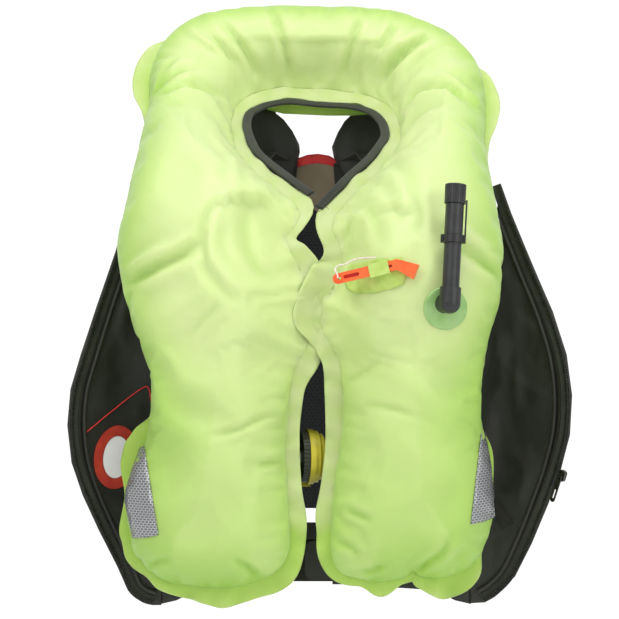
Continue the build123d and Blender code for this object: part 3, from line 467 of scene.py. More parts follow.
def bilinear(grid, gx, gz, x, z):
    fx = np.clip((np.asarray(x) - gx[0]) / (gx[1] - gx[0]), 0, len(gx) - 1.001)
    fz = np.clip((np.asarray(z) - gz[0]) / (gz[1] - gz[0]), 0, len(gz) - 1.001)
    i, j = fx.astype(int), fz.astype(int)
    a, b = fx - i, fz - j
    return ((grid[j, i] * (1 - a) + grid[j, i + 1] * a) * (1 - b)
            + (grid[j + 1, i] * (1 - a) + grid[j + 1, i + 1] * a) * b)


def smooth_depth(x, z):
    return bilinear(mid_grid, GX, GZ, x, z)


# Inflated thickness: two sheets welded at the seam swell as the root of a Poisson solution.
CELL = 0.0025
PX, PZ = np.arange(-0.215, 0.2151, CELL), np.arange(-0.475, 0.1651, CELL)
cell_x, cell_z = np.meshgrid(PX, PZ)
is_inside = inside(np.stack([cell_x.ravel(), cell_z.ravel()], 1), SEAM).reshape(cell_x.shape)
swelling = np.zeros(cell_x.shape)
red_cells = (np.add.outer(np.arange(len(PZ)), np.arange(len(PX))) % 2).astype(bool)
for _ in range(900):
    for half_of_them in (red_cells, ~red_cells):
        p = np.pad(swelling, 1)
        new = (p[1:-1, :-2] + p[1:-1, 2:] + p[:-2, 1:-1] + p[2:, 1:-1] + CELL**2) / 4
        now = is_inside & half_of_them
        swelling[now] += 1.9 * (new[now] - swelling[now])


def swell(x, z, dist, nearest):
    """Half thickness of the chamber at these points."""
    rim = 0.006
    d = np.maximum(dist, 1e-6)
    away = np.stack([x, z], 1) - nearest
    away /= np.maximum(np.linalg.norm(away, axis=1, keepdims=True), 1e-9)
    q = np.where((d < rim)[:, None], nearest + away * rim, np.stack([x, z], 1))
    u = np.maximum(bilinear(swelling, PX, PZ, q[:, 0], q[:, 1]), 1e-9) * np.minimum(d / rim, 1)
    h = 0.0600 * (np.sqrt(2 * u) / 0.078) ** 0.82
    # Beside the neck opening and where the lobes cross, the sheets part more slowly.
    cx, cz = nearest[:, 0], nearest[:, 1]
    beside = np.abs(cx)
    neck = smoothstep(0.13, 0.09, beside) * smoothstep(-0.10, -0.05, cz) * smoothstep(0.085, 0.065, cz)
    crossing = smoothstep(0.06, 0.04, beside)
    crossing = crossing * smoothstep(-0.30, -0.22, cz) * smoothstep(-0.04, -0.06, cz)
    slit = 0.6 * smoothstep(0.06, 0.04, np.abs(cx)) * smoothstep(-0.22, -0.26, cz)
    foot = 0.75 * smoothstep(-0.41, -0.435, cz)
    hip = 0.55 * smoothstep(0.14, 0.16, np.abs(cx)) * smoothstep(-0.27, -0.31, cz)
    gentle = np.clip(np.maximum.reduce([neck, crossing, slit, foot, hip]), 0, 1)
    reach = 0.044 + 0.018 * crossing - 0.012 * np.maximum(slit, foot)
    ease = np.sin(np.clip(d / (1.4 * reach), 0, 1) * np.pi / 2) ** (0.62 + 0.36 * crossing)
    return h * (1 - gentle * (1 - ease))


# Folds and puckers of the inflated cloth: (line, depth in mm, half width in mm); negative depth is a ridge.
FOLDS = [
    ([(-47, 142), (-36, 106), (-23, 64)], 5, 6),
    ([(-101, 126), (-82, 96), (-59, 65)], 6, 6),
    ([(-113, 103), (-100, 86), (-85, 71)], 5, 5),
    ([(-132, 118), (-118, 96), (-98, 78)], -3, 6),
    ([(47, 134), (38, 100), (28, 65)], 5, 6),
    ([(83, 121), (76, 104), (67, 89)], 5, 6),
    ([(122, 107), (96, 84), (67, 58)], 9, 7),
    ([(128, 92), (104, 70), (82, 52)], -4, 7),
    ([(-169, 34), (-155, 56), (-141, 74)], 4, 5),
    ([(-169, 34), (-146, 48), (-122, 58)], 6, 6),
    ([(-166, 28), (-128, 38), (-92, 45)], 7, 6),
    ([(-160, 20), (-124, 26), (-88, 24)], -3, 6),
    ([(90, 32), (109, 39), (130, 34), (158, 23)], 9, 6),
    ([(128, 47), (146, 38), (162, 25)], -4, 5),
    ([(88, 14), (112, 18), (140, 8)], 4, 7),
    ([(-182, -144), (-159, -131), (-134, -121), (-110, -109)], 7, 7),
    ([(-184, -132), (-160, -118), (-136, -108)], -3, 7),
    ([(-128, -200), (-110, -180), (-93, -160)], 2.2, 5),
    ([(-187, -173), (-180, -158), (-174, -147)], 4, 5),
    ([(-85, -24), (-84, -50), (-83, -74)], -4, 7),
    ([(-87, -76), (-99, -100), (-96, -126), (-75, -147), (-57, -152)], -5, 8),
    ([(-66, -70), (-70, -100), (-58, -128), (-36, -140)], 5, 9),
    ([(62, -26), (83, -68), (90, -89), (86, -110)], -5, 8),
    ([(44, -62), (62, -92), (66, -118)], 4, 8),
    ([(109, -105), (135, -113), (160, -125), (183, -139)], 6, 7),
    ([(114, -92), (142, -98), (172, -112)], -3, 7),
    ([(-100, -298), (-72, -288), (-44, -274)], 2.4, 5),
    ([(-60, -330), (-44, -326), (-32, -326)], 4, 5),
    ([(46, -266), (74, -270), (98, -278)], 2.0, 5),
    ([(25, -373), (40, -378), (57, -385)], 4, 5),
    ([(22, -410), (36, -414), (46, -424)], 4, 5),
    ([(26, -244), (44, -236), (62, -224)], 2.2, 5),
    ([(-60, -452), (-68, -436), (-86, -420)], 4, 5),
    ([(101, -446), (112, -432), (126, -414), (128, -396)], 4.5, 6),
    ([(26, -444), (48, -440), (76, -430)], 3.5, 5),
    ([(-176, -440), (-160, -430), (-140, -424)], 3, 5),
    ([(8, -70), (17, -94), (27, -104)], 3, 5),
    ([(38, -75), (30, -100), (36, -118)], 4, 6),
    ([(-14, -73), (-21, -100), (-28, -110)], 3, 5),
]


def fold_depth(x, z):
    """How far the front sheet is drawn in along its folds."""
    pts = np.stack([x, z], 1)
    out = np.zeros(len(pts))
    for line, deep, half in FOLDS:
        line = catmull(np.array(line, float), 24) * MM
        total = np.linalg.norm(np.diff(line, axis=0), axis=1).sum()
        d, s = seg_distance(pts, line)
        ends = smoothstep(-0.02, 0.3, s / total) * smoothstep(1.02, 0.7, s / total)
        half = half * MM * 0.66
        groove = np.exp(-np.abs(d / half) ** 1.5) - 0.42 * np.exp(-(((d - 2.2 * half) / (1.1 * half)) ** 2))
        out += 1.1 * deep * MM * ends * groove
    return out


# Points of the flat sheet: the seam, rings beside it, and an even field inside.
seam_n = len(SEAM)
along_seam = np.roll(SEAM, -1, 0) - np.roll(SEAM, 1, 0)
along_seam /= np.linalg.norm(along_seam, axis=1, keepdims=True)
SEAM_OUT = np.stack([along_seam[:, 1], -along_seam[:, 0]], 1)
for _ in range(6):
    SEAM_OUT = (np.roll(SEAM_OUT, 1, 0) + 2 * SEAM_OUT + np.roll(SEAM_OUT, -1, 0)) / 4
SEAM_OUT /= np.linalg.norm(SEAM_OUT, axis=1, keepdims=True)
SEAM_S = np.r_[0, np.cumsum(np.linalg.norm(np.diff(SEAM, axis=0), axis=1))]


def near_seam(pts):
    """Distance to the seam, the nearest seam point, and the place along the seam."""
    best = np.full(len(pts), 1e9)
    idx = np.zeros(len(pts), int)
    for i in range(0, len(pts), 4000):
        d = np.linalg.norm(pts[i:i + 4000, None] - SEAM[None], axis=2)
        idx[i:i + 4000] = d.argmin(1)
        best[i:i + 4000] = d.min(1)
    return best, SEAM[idx], SEAM_S[idx]


rings = []
for off in (0.0012, 0.0032, 0.0062):
    r = SEAM - SEAM_OUT * off
    d, _, _ = near_seam(r)
    rings.append(r[(d > 0.85 * off) & inside(r, SEAM)])
STEP = 0.0046
hx, hz = np.meshgrid(np.arange(-0.21, 0.21, STEP), np.arange(-0.47, 0.16, STEP * 0.866))
hx = hx + (np.arange(hx.shape[0]) % 2)[:, None] * STEP / 2
field = np.stack([hx.ravel(), hz.ravel()], 1)
field = field[inside(field, SEAM)]
field = field[near_seam(field)[0] > 0.0085]
flat = np.vstack([SEAM] + rings + [field])
cdt = delaunay_2d_cdt(
    [Vector(p) for p in flat], [], [list(range(seam_n))], 1, 1e-7
)
flat = np.array([tuple(v) for v in cdt[0]])
tris = cdt[2]
dist, nearest, along = near_seam(flat)
on_seam = dist < 1e-5
half = swell(flat[:, 0], flat[:, 1], dist, nearest)
half[on_seam] = 0

# Seam puckers: short creases square to the seam, deepest where the seam is tightly curved.
pucker = wobble(along, 3, [(0.034, 1.0), (0.019, 0.8)])
tight = 0.45 + 0.8 * smoothstep(0.20, 0.05, np.hypot(flat[:, 0], flat[:, 1] - 0.01)) \
    + 0.7 * smoothstep(-0.38, -0.44, flat[:, 1]) + 0.4 * (np.abs(flat[:, 0]) < 0.05)
pucker_front = 0.0030 * pucker * tight * np.exp(-dist / 0.016) * smoothstep(0, 0.006, dist)
pucker_back = 0.0030 * np.roll(pucker, 9) * np.exp(-dist / 0.016) * smoothstep(0, 0.006, dist)
soft = 0.0022 * (np.sin(flat[:, 0] * 61 + 2.1 * np.sin(flat[:, 1] * 23)) * np.sin(flat[:, 1] * 47 + 1.3)
                 ) * smoothstep(0.01, 0.05, dist)

folds = fold_depth(flat[:, 0], flat[:, 1]) * smoothstep(0.0, 0.012, dist)
h_front = np.maximum(half + pucker_front + soft - folds, np.where(on_seam, 0, 0.0006))
h_back = np.maximum(half * 0.97 + pucker_back - soft, np.where(on_seam, 0, 0.0006))


# Where fittings are welded to the chamber, the front sheet meets their bases.
PATCHES = [((0.1298, -0.2407, -0.161), 0.045), ((0.062, -0.2452, -0.127), 0.040)]  # place, reach
lift = np.zeros(len(flat))
for target, radius in PATCHES:
    f = DIST / (DIST + (target[1] - PLANE_Y))
    ax, az = CAM.x + (target[0] - CAM.x) * f, CAM.z + (target[2] - CAM.z) * f
    d = np.hypot(flat[:, 0] - ax, flat[:, 1] - az)
    i = np.argsort(d)[:6]
    here = place(flat[i, 0], flat[i, 1], h_front[i])[:, 1].mean()
    gap = here - target[1]
    lift += gap * np.exp(-((d / radius) ** 2)) * smoothstep(0, 0.03, dist)
h_front = h_front + lift

seam_lift = 0.0015 * wobble(along, 11, [(0.045, 1.0), (0.023, 0.6)])
front = place(flat[:, 0], flat[:, 1], h_front + seam_lift * np.exp(-dist / 0.01))
back = place(flat[:, 0], flat[:, 1], -h_back + seam_lift * np.exp(-dist / 0.01))
verts = np.vstack([front, back])
n_flat = len(flat)
back_index = np.where(on_seam, np.arange(n_flat), np.arange(n_flat) + n_flat)
faces = [(a, b, c) for a, b, c in tris] + [(back_index[a], back_index[c], back_index[b]) for a, b, c in tris]
# The camera looks along +Y, so the front faces must be wound clockwise in the plane.
faces = [(a, c, b) for a, b, c in faces] if np.cross(
    front[tris[0][1]] - front[tris[0][0]], front[tris[0][2]] - front[tris[0][0]])[1] > 0 else faces
used = sorted({i for f in faces for i in f})
remap = {v: i for i, v in enumerate(used)}
chamber = new_mesh("air_chamber_cloth", verts[used], [[remap[i] for i in f] for f in faces])


def inflate(ob, held, pressure=4.0, grow=0.022, frames=16, cap=0.0055):
    """Runs cloth under pressure, with the cloth cut a little large, and keeps the result."""
    before = np.array([tuple(v.co) for v in ob.data.vertices])
    vg = ob.vertex_groups.new(name="held")
    for level in np.unique(np.round(held, 1)):
        if level > 0:
            vg.add([int(i) for i in np.nonzero(np.round(held, 1) == level)[0]], float(level), "REPLACE")
    mod = ob.modifiers.new("cloth", "CLOTH")
    st = mod.settings
    st.quality, st.mass = 6, 0.2
    st.tension_stiffness = st.compression_stiffness = 30
    st.shear_stiffness, st.bending_stiffness = 10, 0.02
    st.use_pressure, st.uniform_pressure_force = True, pressure
    st.shrink_min = -grow
    st.vertex_group_mass = "held"
    st.effector_weights.gravity = 0
    mod.collision_settings.use_collision = False
    mod.point_cache.frame_start, mod.point_cache.frame_end = 1, frames
    scene = bpy.context.scene
    for k in range(1, frames + 1):
        scene.frame_set(k)
    me = ob.evaluated_get(bpy.context.evaluated_depsgraph_get()).data
    after = np.array([tuple(v.co) for v in me.vertices])
    ob.modifiers.clear()
    ob.vertex_groups.clear()
    scene.frame_set(1)
    move = after - before
    far = np.linalg.norm(move, axis=1, keepdims=True)
    move = move * (cap * np.tanh(far / cap) / np.maximum(far, 1e-9))
    ob.data.vertices.foreach_set("co", (before + move).ravel())
    ob.data.update()


place_d = np.r_[dist, dist][used]
fx = np.r_[flat[:, 0], flat[:, 0]][used]
fz = np.r_[flat[:, 1], flat[:, 1]][used]
held = 1 - smoothstep(0.0005, 0.004, place_d)
is_front = np.r_[np.ones(n_flat), np.zeros(n_flat)][used]
for (ax, az), (rx, rz) in (((0.131, -0.162), (0.030, 0.030)), ((0.064, -0.130), (0.036, 0.022))):
    held = np.maximum(held, is_front * smoothstep(1.35, 0.9, np.hypot((fx - ax) / rx, (fz - az) / rz)))
inflate(chamber, np.clip(held, 0, 1))
near_x, near_z = nearest[:, 0], nearest[:, 1]
near_side = np.abs(near_x)
# Painted shade in the chamber's depth attribute: deeper green near the seam (in a wider band at the hips), in
# the folds' grooves, towards the bottom and on the +x lobe below the chest, and painted light on the fold
# ridges. Beside the neck and where the lobes cross, the cloth stays light.
pale = smoothstep(0.12, 0.09, near_side) * smoothstep(-0.33, -0.22, near_z) * smoothstep(0.09, 0.07, near_z)
pale = np.maximum(pale, 0.85 * smoothstep(0.06, 0.045, near_side) * smoothstep(-0.2, -0.26, near_z))
hips = smoothstep(0.14, 0.16, near_side) * smoothstep(-0.2, -0.3, near_z)
reach = 0.062 - 0.026 * smoothstep(0.03, 0.08, near_z) + 0.045 * hips
reach = reach * (1 - pale) + 0.012 * pale
tone = smoothstep(-0.35, 1.0, dist / reach) * (1 - pale)
tone = tone + (0.86 + 0.14 * smoothstep(0, 1, dist / reach)) * pale
tone = tone * (1 - 0.42 * smoothstep(-0.16, -0.46, flat[:, 1]))
tone = tone * (1 - 0.10 * (flat[:, 0] > 0) * smoothstep(-0.1, -0.25, flat[:, 1]))
tone = np.clip(tone - 45 * np.clip(folds, -0.002, 0.006), 0, 1)
# The back sheet is given painted shade: 0.6 of the front's tone.
set_tone(chamber, np.r_[tone, tone * 0.6][used])
chamber_look = chamber_material("chamber_cloth", srgb(211, 228, 158), srgb(184, 214, 118), srgb(148, 196, 60))
attach(chamber, chamber_look, "chamber_green", "air_chamber")


# ---- Seam flanges -------------------------------------------------------------------------
EDGE_RIGHT = [
    (4, -58), (-2, -62), (0, -75), (2, -86), (4, -94), (7, -101), (10, -106), (3, -116), (-6, -124),
    (-13, -139), (-18, -153), (-24, -170), (-27, -184), (-18, -189), (-9, -196), (-3, -207), (6, -222),
    (8, -233), (9, -257), (10, -289), (9, -320), (5, -352), (2, -368), (-1, -383), (1, -404), (1, -423),
    (13, -448), (38, -459), (48, -457), (69, -472), (93, -454), (109, -460), (125, -470), (139, -474),
    (153, -468), (164, -462), (172, -446), (176, -430), (173, -417), (180, -404), (184, -388),
    (186, -373), (186, -346), (186, -320), (183, -308), (176, -296), (172, -284),
]
EDGE_LEFT = [
    (-4, -46), (0, -50), (-2, -63), (-13, -81), (-21, -93), (-10, -101), (-3, -109), (3, -116),
    (7, -131), (10, -158), (12, -189), (7, -210), (5, -223), (-3, -236), (-10, -247), (-13, -257),
    (-15, -273), (-17, -289), (-17, -315), (-16, -341), (-14, -362), (-10, -383), (-10, -404), (-13, -425),
    (-18, -444), (-26, -456), (-42, -466), (-57, -469), (-80, -477), (-101, -482), (-119, -476),
    (-138, -472), (-159, -464), (-174, -457), (-180, -446), (-195, -441), (-201, -426), (-205, -410),
    (-206, -393), (-202, -373), (-200, -359), (-205, -336), (-205, -323), (-202, -312), (-195, -299),
    (-182, -281),
]
EAR_LEFT = [
    (-155, 117), (-164, 115), (-174, 108), (-185, 97), (-191, 84), (-193, 71), (-192, 58), (-187, 45),
    (-180, 38), (-174, 34),
]
EAR_RIGHT = [(166, 89), (177, 84), (186, 72), (192, 58), (194, 46), (192, 34), (187, 18), (177, 3)]
BINDING = [
    (-8, -51), (-27, -37), (-57, -14), (-69, 0), (-77, 21), (-75, 37), (-67, 44), (-50, 51), (-27, 54),
    (4, 51), (36, 49), (59, 43), (72, 32), (77, 19), (75, 8), (59, -13), (36, -34), (6, -65),
]


def ray_to_line(p, n, line, far):
    """How far from p along n each ray first meets the polyline; nan where it doesn't."""
    best = np.full(len(p), np.nan)
    for a, b in zip(line[:-1], line[1:]):
        e = b - a
        det = n[:, 0] * -e[1] + n[:, 1] * e[0]
        det = np.where(abs(det) < 1e-12, 1e-12, det)
        r = a - p
        t = (r[:, 0] * -e[1] + r[:, 1] * e[0]) / det
        u = (n[:, 0] * r[:, 1] - n[:, 1] * r[:, 0]) / det
        ok = (t > 0.0008) & (t < far) & (u >= -0.02) & (u <= 1.02)
        best = np.where(ok & ~(best <= t), t, best)
    return best


def smooth_loop(v, times):
    for _ in range(times):
        v = (np.roll(v, 1) + 2 * v + np.roll(v, -1)) / 4
    return v


sx, sz = SEAM[:, 0], SEAM[:, 1]
width = np.full(seam_n, np.nan)
inner_right = (sx > 0) & (sz < -0.060)
inner_left = (sx <= 0) & (sz < -0.060)
in_neck = (np.abs(sx) < 0.095) & (sz > -0.085) & (sz < 0.075)
for mask, line, far in (
    (inner_right, EDGE_RIGHT, 0.040), (inner_left, EDGE_LEFT, 0.040),
    (in_neck, BINDING, 0.022),
    ((sz > 0) & (sx < -0.15), EAR_LEFT, 0.03), ((sz > 0) & (sx > 0.15), EAR_RIGHT, 0.03),
):
    line = catmull(np.array(line, float), len(line) * 6) * MM
    got = ray_to_line(SEAM, SEAM_OUT, line, far)
    width = np.where(mask & np.isnan(width), got, width)
hidden = np.isnan(width)
tuck = smooth_loop(hidden.astype(float), 8)  # here the flange turns back behind the chamber
width = smooth_loop(np.where(hidden, 0.009, width), 4)

ROWS = 8
fl_flat, fl_t, fl_s = [], [], []
for j in range(ROWS + 1):
    t = (j - 1) / (ROWS - 1)  # the first row lies just inside the seam, so no gap shows
    t = max(t, -0.0008 / 0.009 if j == 0 else 0)
    fl_flat.append(SEAM + SEAM_OUT * (width * t)[:, None] * (1 - 0.75 * tuck * t)[:, None])
    fl_t.append(np.full(seam_n, max(t, 0.0)))
    fl_s.append(SEAM_S)
fl_flat, fl_t, fl_s = np.vstack(fl_flat), np.concatenate(fl_t), np.concatenate(fl_s)
tuck_all, width_all = np.tile(tuck, ROWS + 1), np.tile(width, ROWS + 1)
is_right = np.tile(SEAM[:, 0] > 0, ROWS + 1)
over = inside(fl_flat, SEAM) & (fl_flat[:, 1] < -0.06) & (fl_t > 0) & (np.abs(fl_flat[:, 0]) < 0.045)
od, onear, _ = near_seam(fl_flat)
over_h = np.where(over, swell(fl_flat[:, 0], fl_flat[:, 1], np.maximum(od, 1e-5), onear), 0)
over_h = over_h.reshape(ROWS + 1, seam_n)
for _ in range(6):
    over_h = (np.roll(over_h, 1, 1) + 2 * over_h + np.roll(over_h, -1, 1)) / 4
over_h = over_h.ravel()
on_diamond = (fl_flat[:, 1] < -0.06) & (fl_flat[:, 1] > -0.30) & (np.abs(fl_flat[:, 0]) < 0.04)
foot_all = smoothstep(-0.40, -0.44, fl_flat[:, 1])
wave = wobble(fl_s, 21, [(0.052, 1.0), (0.027, 0.7)]) * fl_t
wave = wave * np.minimum(width_all / 0.02, 1.2) * (1 + 1.3 * foot_all)
root_lift = 0.0015 * wobble(fl_s, 11, [(0.045, 1.0), (0.023, 0.6)])
off = 0.0032 * wave + root_lift * (1 - fl_t)
off = off + np.where(is_right, 1, -1) * np.where(over_h > 0, over_h + 0.0016, 0)
off = off + np.where(is_right & on_diamond, 0.001 * fl_t, 0)
off = off - 0.012 * tuck_all * fl_t - 0.004 * foot_all * fl_t
fl_points = place(fl_flat[:, 0], fl_flat[:, 1], off)
fl_faces = []
for j in range(ROWS):
    for i in range(seam_n):
        k = (i + 1) % seam_n
        fl_faces.append((j * seam_n + i, j * seam_n + k, (j + 1) * seam_n + k, (j + 1) * seam_n + i))
flange = new_mesh("seam_flange", fl_points, fl_faces)
# Painted light and shade in the flange's depth attribute: darker at the seam root, lighter towards the free
# edge, where its waves rise and in its upper part. Beside the neck and down the slit it stays light, with
# light and dark bands along its root.
fl_pale = smoothstep(0.12, 0.09, np.abs(fl_flat[:, 0]))
fl_pale = fl_pale * smoothstep(-0.43, -0.36, fl_flat[:, 1]) * smoothstep(0.09, 0.07, fl_flat[:, 1])
tone = fl_pale * (0.92 - 0.12 * np.cos(fl_s * 190) * (1 - fl_t))
tone = tone + (1 - fl_pale) * (0.28 + 0.22 * fl_t + 0.1 * wave + 0.28 * (fl_flat[:, 1] > -0.05))
set_tone(flange, np.clip(tone, 0, 1))
thicken(flange, 0.0009)
flange_look = chamber_material("flange_cloth", srgb(208, 225, 150), srgb(172, 212, 84), srgb(140, 192, 46))
attach(flange, flange_look, "seam_green", "seam_ear_left", "seam_ear_right")


# ---- Things laid on the chamber -----------------------------------------------------------
def tree(*objects):
    v, f = [], []
    for ob in objects:
        n = len(v)
        v += [tuple(p.co) for p in ob.data.vertices]
        f += [tuple(i + n for i in p.vertices) for p in ob.data.polygons]
    return BVHTree.FromPolygons(v, f)


def on_tree(bvh, x, z, default_y=-0.18):
    """Where the camera's rays through these points of the drawing plane first meet the tree."""
    out, normals = [], []
    for a, b in zip(x, z):
        d = (Vector((a, PLANE_Y, b)) - CAM).normalized()
        hit, n, _, _ = bvh.ray_cast(CAM, d)
        if hit is None:
            X, Y, Z = seen(a, b, default_y)
            hit, n = Vector((X, Y, Z)), Vector((0, -1, 0))
        if n.dot(d) > 0:
            n = -n
        out.append(hit)
        normals.append(n)
    return np.array([tuple(p) for p in out]), np.array([tuple(p) for p in normals])


def flat_sheet(outline, step, clear, shift=False):
    """Points and triangles of a flat sheet; clear is how far inner points keep from its edge, in steps."""
    edge = []
    for p, q in zip(outline, np.roll(outline, -1, 0)):
        k = max(1, int(np.linalg.norm(q - p) / step))
        edge += [p + (q - p) * i / k for i in range(k)]
    edge = np.array(edge)
    lo, hi = edge.min(0), edge.max(0)
    gx, gz = np.meshgrid(np.arange(lo[0], hi[0], step), np.arange(lo[1], hi[1], step))
    if shift:
        gx = gx + (np.arange(gx.shape[0]) % 2)[:, None] * step / 2
    pts = np.stack([gx.ravel(), gz.ravel()], 1)
    pts = pts[inside(pts, edge)]
    pts = pts[seg_distance(pts, outline, closed=True)[0] > step * clear]
    cdt = delaunay_2d_cdt([Vector(p) for p in np.vstack([edge, pts])], [], [list(range(len(edge)))], 1, 1e-7)
    return np.array([tuple(v) for v in cdt[0]]), cdt[2]


def drape(name, outline, bvh, step=0.004, lift=0.0009, thick=0.0006, uneven=0.0):
    """A patch with this outline in the drawing plane, lying on the surfaces in the tree."""
    flat, triangles = flat_sheet(np.array(outline, float), step, 0.45)
    p, normal = on_tree(bvh, flat[:, 0], flat[:, 1])
    ripple = 0.5 + 0.5 * np.sin(flat[:, :1] * 260 + 1) * np.cos(flat[:, 1:] * 190)
    p = p + normal * (lift + uneven * ripple)
    return thicken(new_mesh(name, p, triangles), thick)


def mm(*pts):
    return [(x * MM, z * MM) for x, z in pts]


surface = tree(chamber, flange)


def ribbon(name, path, normals, width, thick, sides=10, flat_power=0.45):
    """A flat band with rounded edges along a path; normals point out of its broad face."""
    path, normals = np.asarray(path, float), np.asarray(normals, float)
    t = unit(np.gradient(path, axis=0))
    n = unit(normals - (normals * t).sum(1, keepdims=True) * t)
    b = np.cross(t, n)
    ang = np.linspace(0, 2 * np.pi, sides * 2, endpoint=False)
    cx = np.sign(np.cos(ang)) * np.abs(np.cos(ang)) ** flat_power * width / 2
    cy = np.sign(np.sin(ang)) * np.abs(np.sin(ang)) ** 0.8 * thick / 2
    v = (path[:, None] + b[:, None] * cx[None, :, None] + n[:, None] * cy[None, :, None]).reshape(-1, 3)
    k = sides * 2
    f = [(i * k + j, i * k + (j + 1) % k, (i + 1) * k + (j + 1) % k, (i + 1) * k + j)
         for i in range(len(path) - 1) for j in range(k)]
    f += [tuple(range(k))[::-1], tuple((len(path) - 1) * k + j for j in range(k))]
    ob = new_mesh(name, v, f)
    bm = bmesh.new()
    bm.from_mesh(ob.data)
    bmesh.ops.recalc_face_normals(bm, faces=bm.faces)
    bm.to_mesh(ob.data)
    bm.free()
    ob.data.shade_smooth()
    return ob


def spaced(path, normals, spacing, start=0.001):
    """Points at an even spacing along a path, with the normal and the direction at each."""
    s = np.r_[0, np.cumsum(np.linalg.norm(np.diff(path, axis=0), axis=1))]
    w = np.arange(start, s[-1], spacing)
    p, q, r = (np.stack([np.interp(w + d, s, path[:, k]) for k in range(3)], 1) for d in (0, 1e-4, -1e-4))
    idx = np.clip((w / s[-1] * (len(path) - 1)).astype(int), 0, len(path) - 1)
    return p, normals[idx], unit(q - r)


def blocks(name, places, ups, dirs, length, width, height):
    """Many small rounded blocks joined in one mesh: stitches and zip teeth."""
    v, f = [], []
    for p, u, d in zip(places, ups, dirs):
        d = d / np.linalg.norm(d)
        u = u - d * (u @ d)
        u /= np.linalg.norm(u)
        c = np.cross(d, u)
        k = len(v)
        for up, narrow in ((0.0, 1.0), (1.0, 0.7)):
            for a, b in ((-1, -1), (1, -1), (1, 1), (-1, 1)):
                corner = d * a * length / 2 * (narrow * 0.2 + 0.8) + c * b * width / 2 * narrow
                v.append(p + corner + u * height * up)
        f += [(k, k + 1, k + 5, k + 4), (k + 1, k + 2, k + 6, k + 5), (k + 2, k + 3, k + 7, k + 6),
              (k + 3, k, k + 4, k + 7), (k + 4, k + 5, k + 6, k + 7), (k + 3, k + 2, k + 1, k)]
    return new_mesh(name, v, f, smooth=False)


# ---- Binding round the neck opening -------------------------------------------------------
line = catmull(np.array(BINDING, float), 260) * MM
tang = unit(np.gradient(line, axis=0))
inward = np.stack([tang[:, 1], -tang[:, 0]], 1)
inward = inward if inside(line[130:131] + inward[130:131] * 0.005, line)[0] else -inward
line = line + inward * 0.0045
bpath = place(line[:, 0], line[:, 1], np.full(len(line), 0.0015))
bnorm = unit(bpath - place(line[:, 0], line[:, 1], np.zeros(len(line))))
binding = ribbon("neck_binding_tape", bpath, bnorm, 0.0100, 0.0034)
attach(binding, "binding_tape", "binding_dark", "neck_binding")
beside = np.cross(unit(np.gradient(bpath, axis=0)), bnorm)
rows = [spaced(bpath + beside * 0.0032 * k + bnorm * 0.00145, bnorm, 0.0046, 0.002) for k in (-1, 1)]
stitches = blocks("neck_binding_stitches", *map(np.vstack, zip(*rows)), 0.0027, 0.0005, 0.0004)
attach(stitches, "stitch_thread", "binding_dark")

# Loose thread ends where the binding is cut.
THREAD_ENDS = ((-6, -50, 2, -57), (-4, -49, 5, -52), (7, -64, 2, -70), (8, -62, 13, -68))
for k, (x0, z0, x1, z1) in enumerate(THREAD_ENDS):
    pts = place(np.array([x0, (x0 + x1) / 2 + 1.5, x1]) * MM, np.array([z0, (z0 + z1) / 2, z1]) * MM,
                np.array([0.003, 0.007, 0.006 + 0.001 * k]))
    facing = np.tile([0, -1.0, 0], (14, 1))
    end = ribbon(f"binding_thread_{k}", catmull(pts, 14), facing, 0.0005, 0.0005, 4, 1.0)
    attach(end, "stitch_thread", "binding_dark")

# ---- Patches and reflective tapes ---------------------------------------------------------
chamber_only = tree(chamber)
angles = np.linspace(0, 2 * np.pi, 56, endpoint=False)
disc = [(0.1355 + 0.0225 * math.cos(a), -0.1660 + 0.0225 * math.sin(a)) for a in angles]
oral_patch = drape("oral_patch_disc", disc, chamber_only, 0.003, 0.0010, 0.0010)
attach(oral_patch, "welded_patch", "seam_green", "oral_patch")
pad = mm((34, -126), (38, -121), (66, -115), (90, -113), (94, -118), (95, -132), (92, -141), (80, -146),
         (60, -150), (42, -151), (34, -146), (30, -136))
whistle_pad = drape("whistle_patch_cloth", pad, chamber_only, 0.003, 0.0010, 0.0010, 0.0012)
attach(whistle_pad, "elastic_loop", "seam_green", "whistle_patch")
for side, outline in (
    ("left", mm((-185, -313), (-180, -311), (-165, -404), (-178, -407), (-192, -407), (-200, -369),
                (-199, -356))),
    ("right", mm((173, -297), (177, -297), (183, -330), (188, -385), (176, -390), (162, -393))),
):
    tape = drape(f"reflective_tape_{side}", outline, surface)
    attach(tape, "reflective_silver", "reflective", f"reflective_patch_{side}")


# ---- Cover ---------------------------------------------------------------------------------
HINGE, FLAP_R, PANEL_Y, GAP = 0.165, 0.125, -0.112, 0.0012
LEFT_FLAP = [
    (-166.5, -116), (-182, -108), (-194, -82), (-203, -60), (-215, -105), (-234, -163), (-250, -215),
    (-260, -252), (-263, -290), (-259, -330), (-248, -366), (-232, -404), (-213, -444), (-202, -470),
    (-188, -482), (-176, -486), (-166.5, -486),
]
RIGHT_FLAP = [
    (166.5, -116), (182, -106), (194, -66), (199, -32), (210, -64), (232, -120), (252, -170),
    (265, -215), (270, -258), (268, -300), (259, -340), (247, -376), (231, -418), (214, -454), (196, -474),
    (182, -483), (166.5, -484),
]


def flap_at(x, z, out):
    """Point of a flap at this x and z, moved out from its face towards the wearer's front."""
    s = np.sign(x)
    swing = np.clip((np.abs(x) - HINGE - GAP) / FLAP_R, 0, 0.999)
    r = FLAP_R - out
    return np.stack([s * (HINGE + GAP + swing * r), PANEL_Y - FLAP_R + r * np.sqrt(1 - swing**2), z], -1)


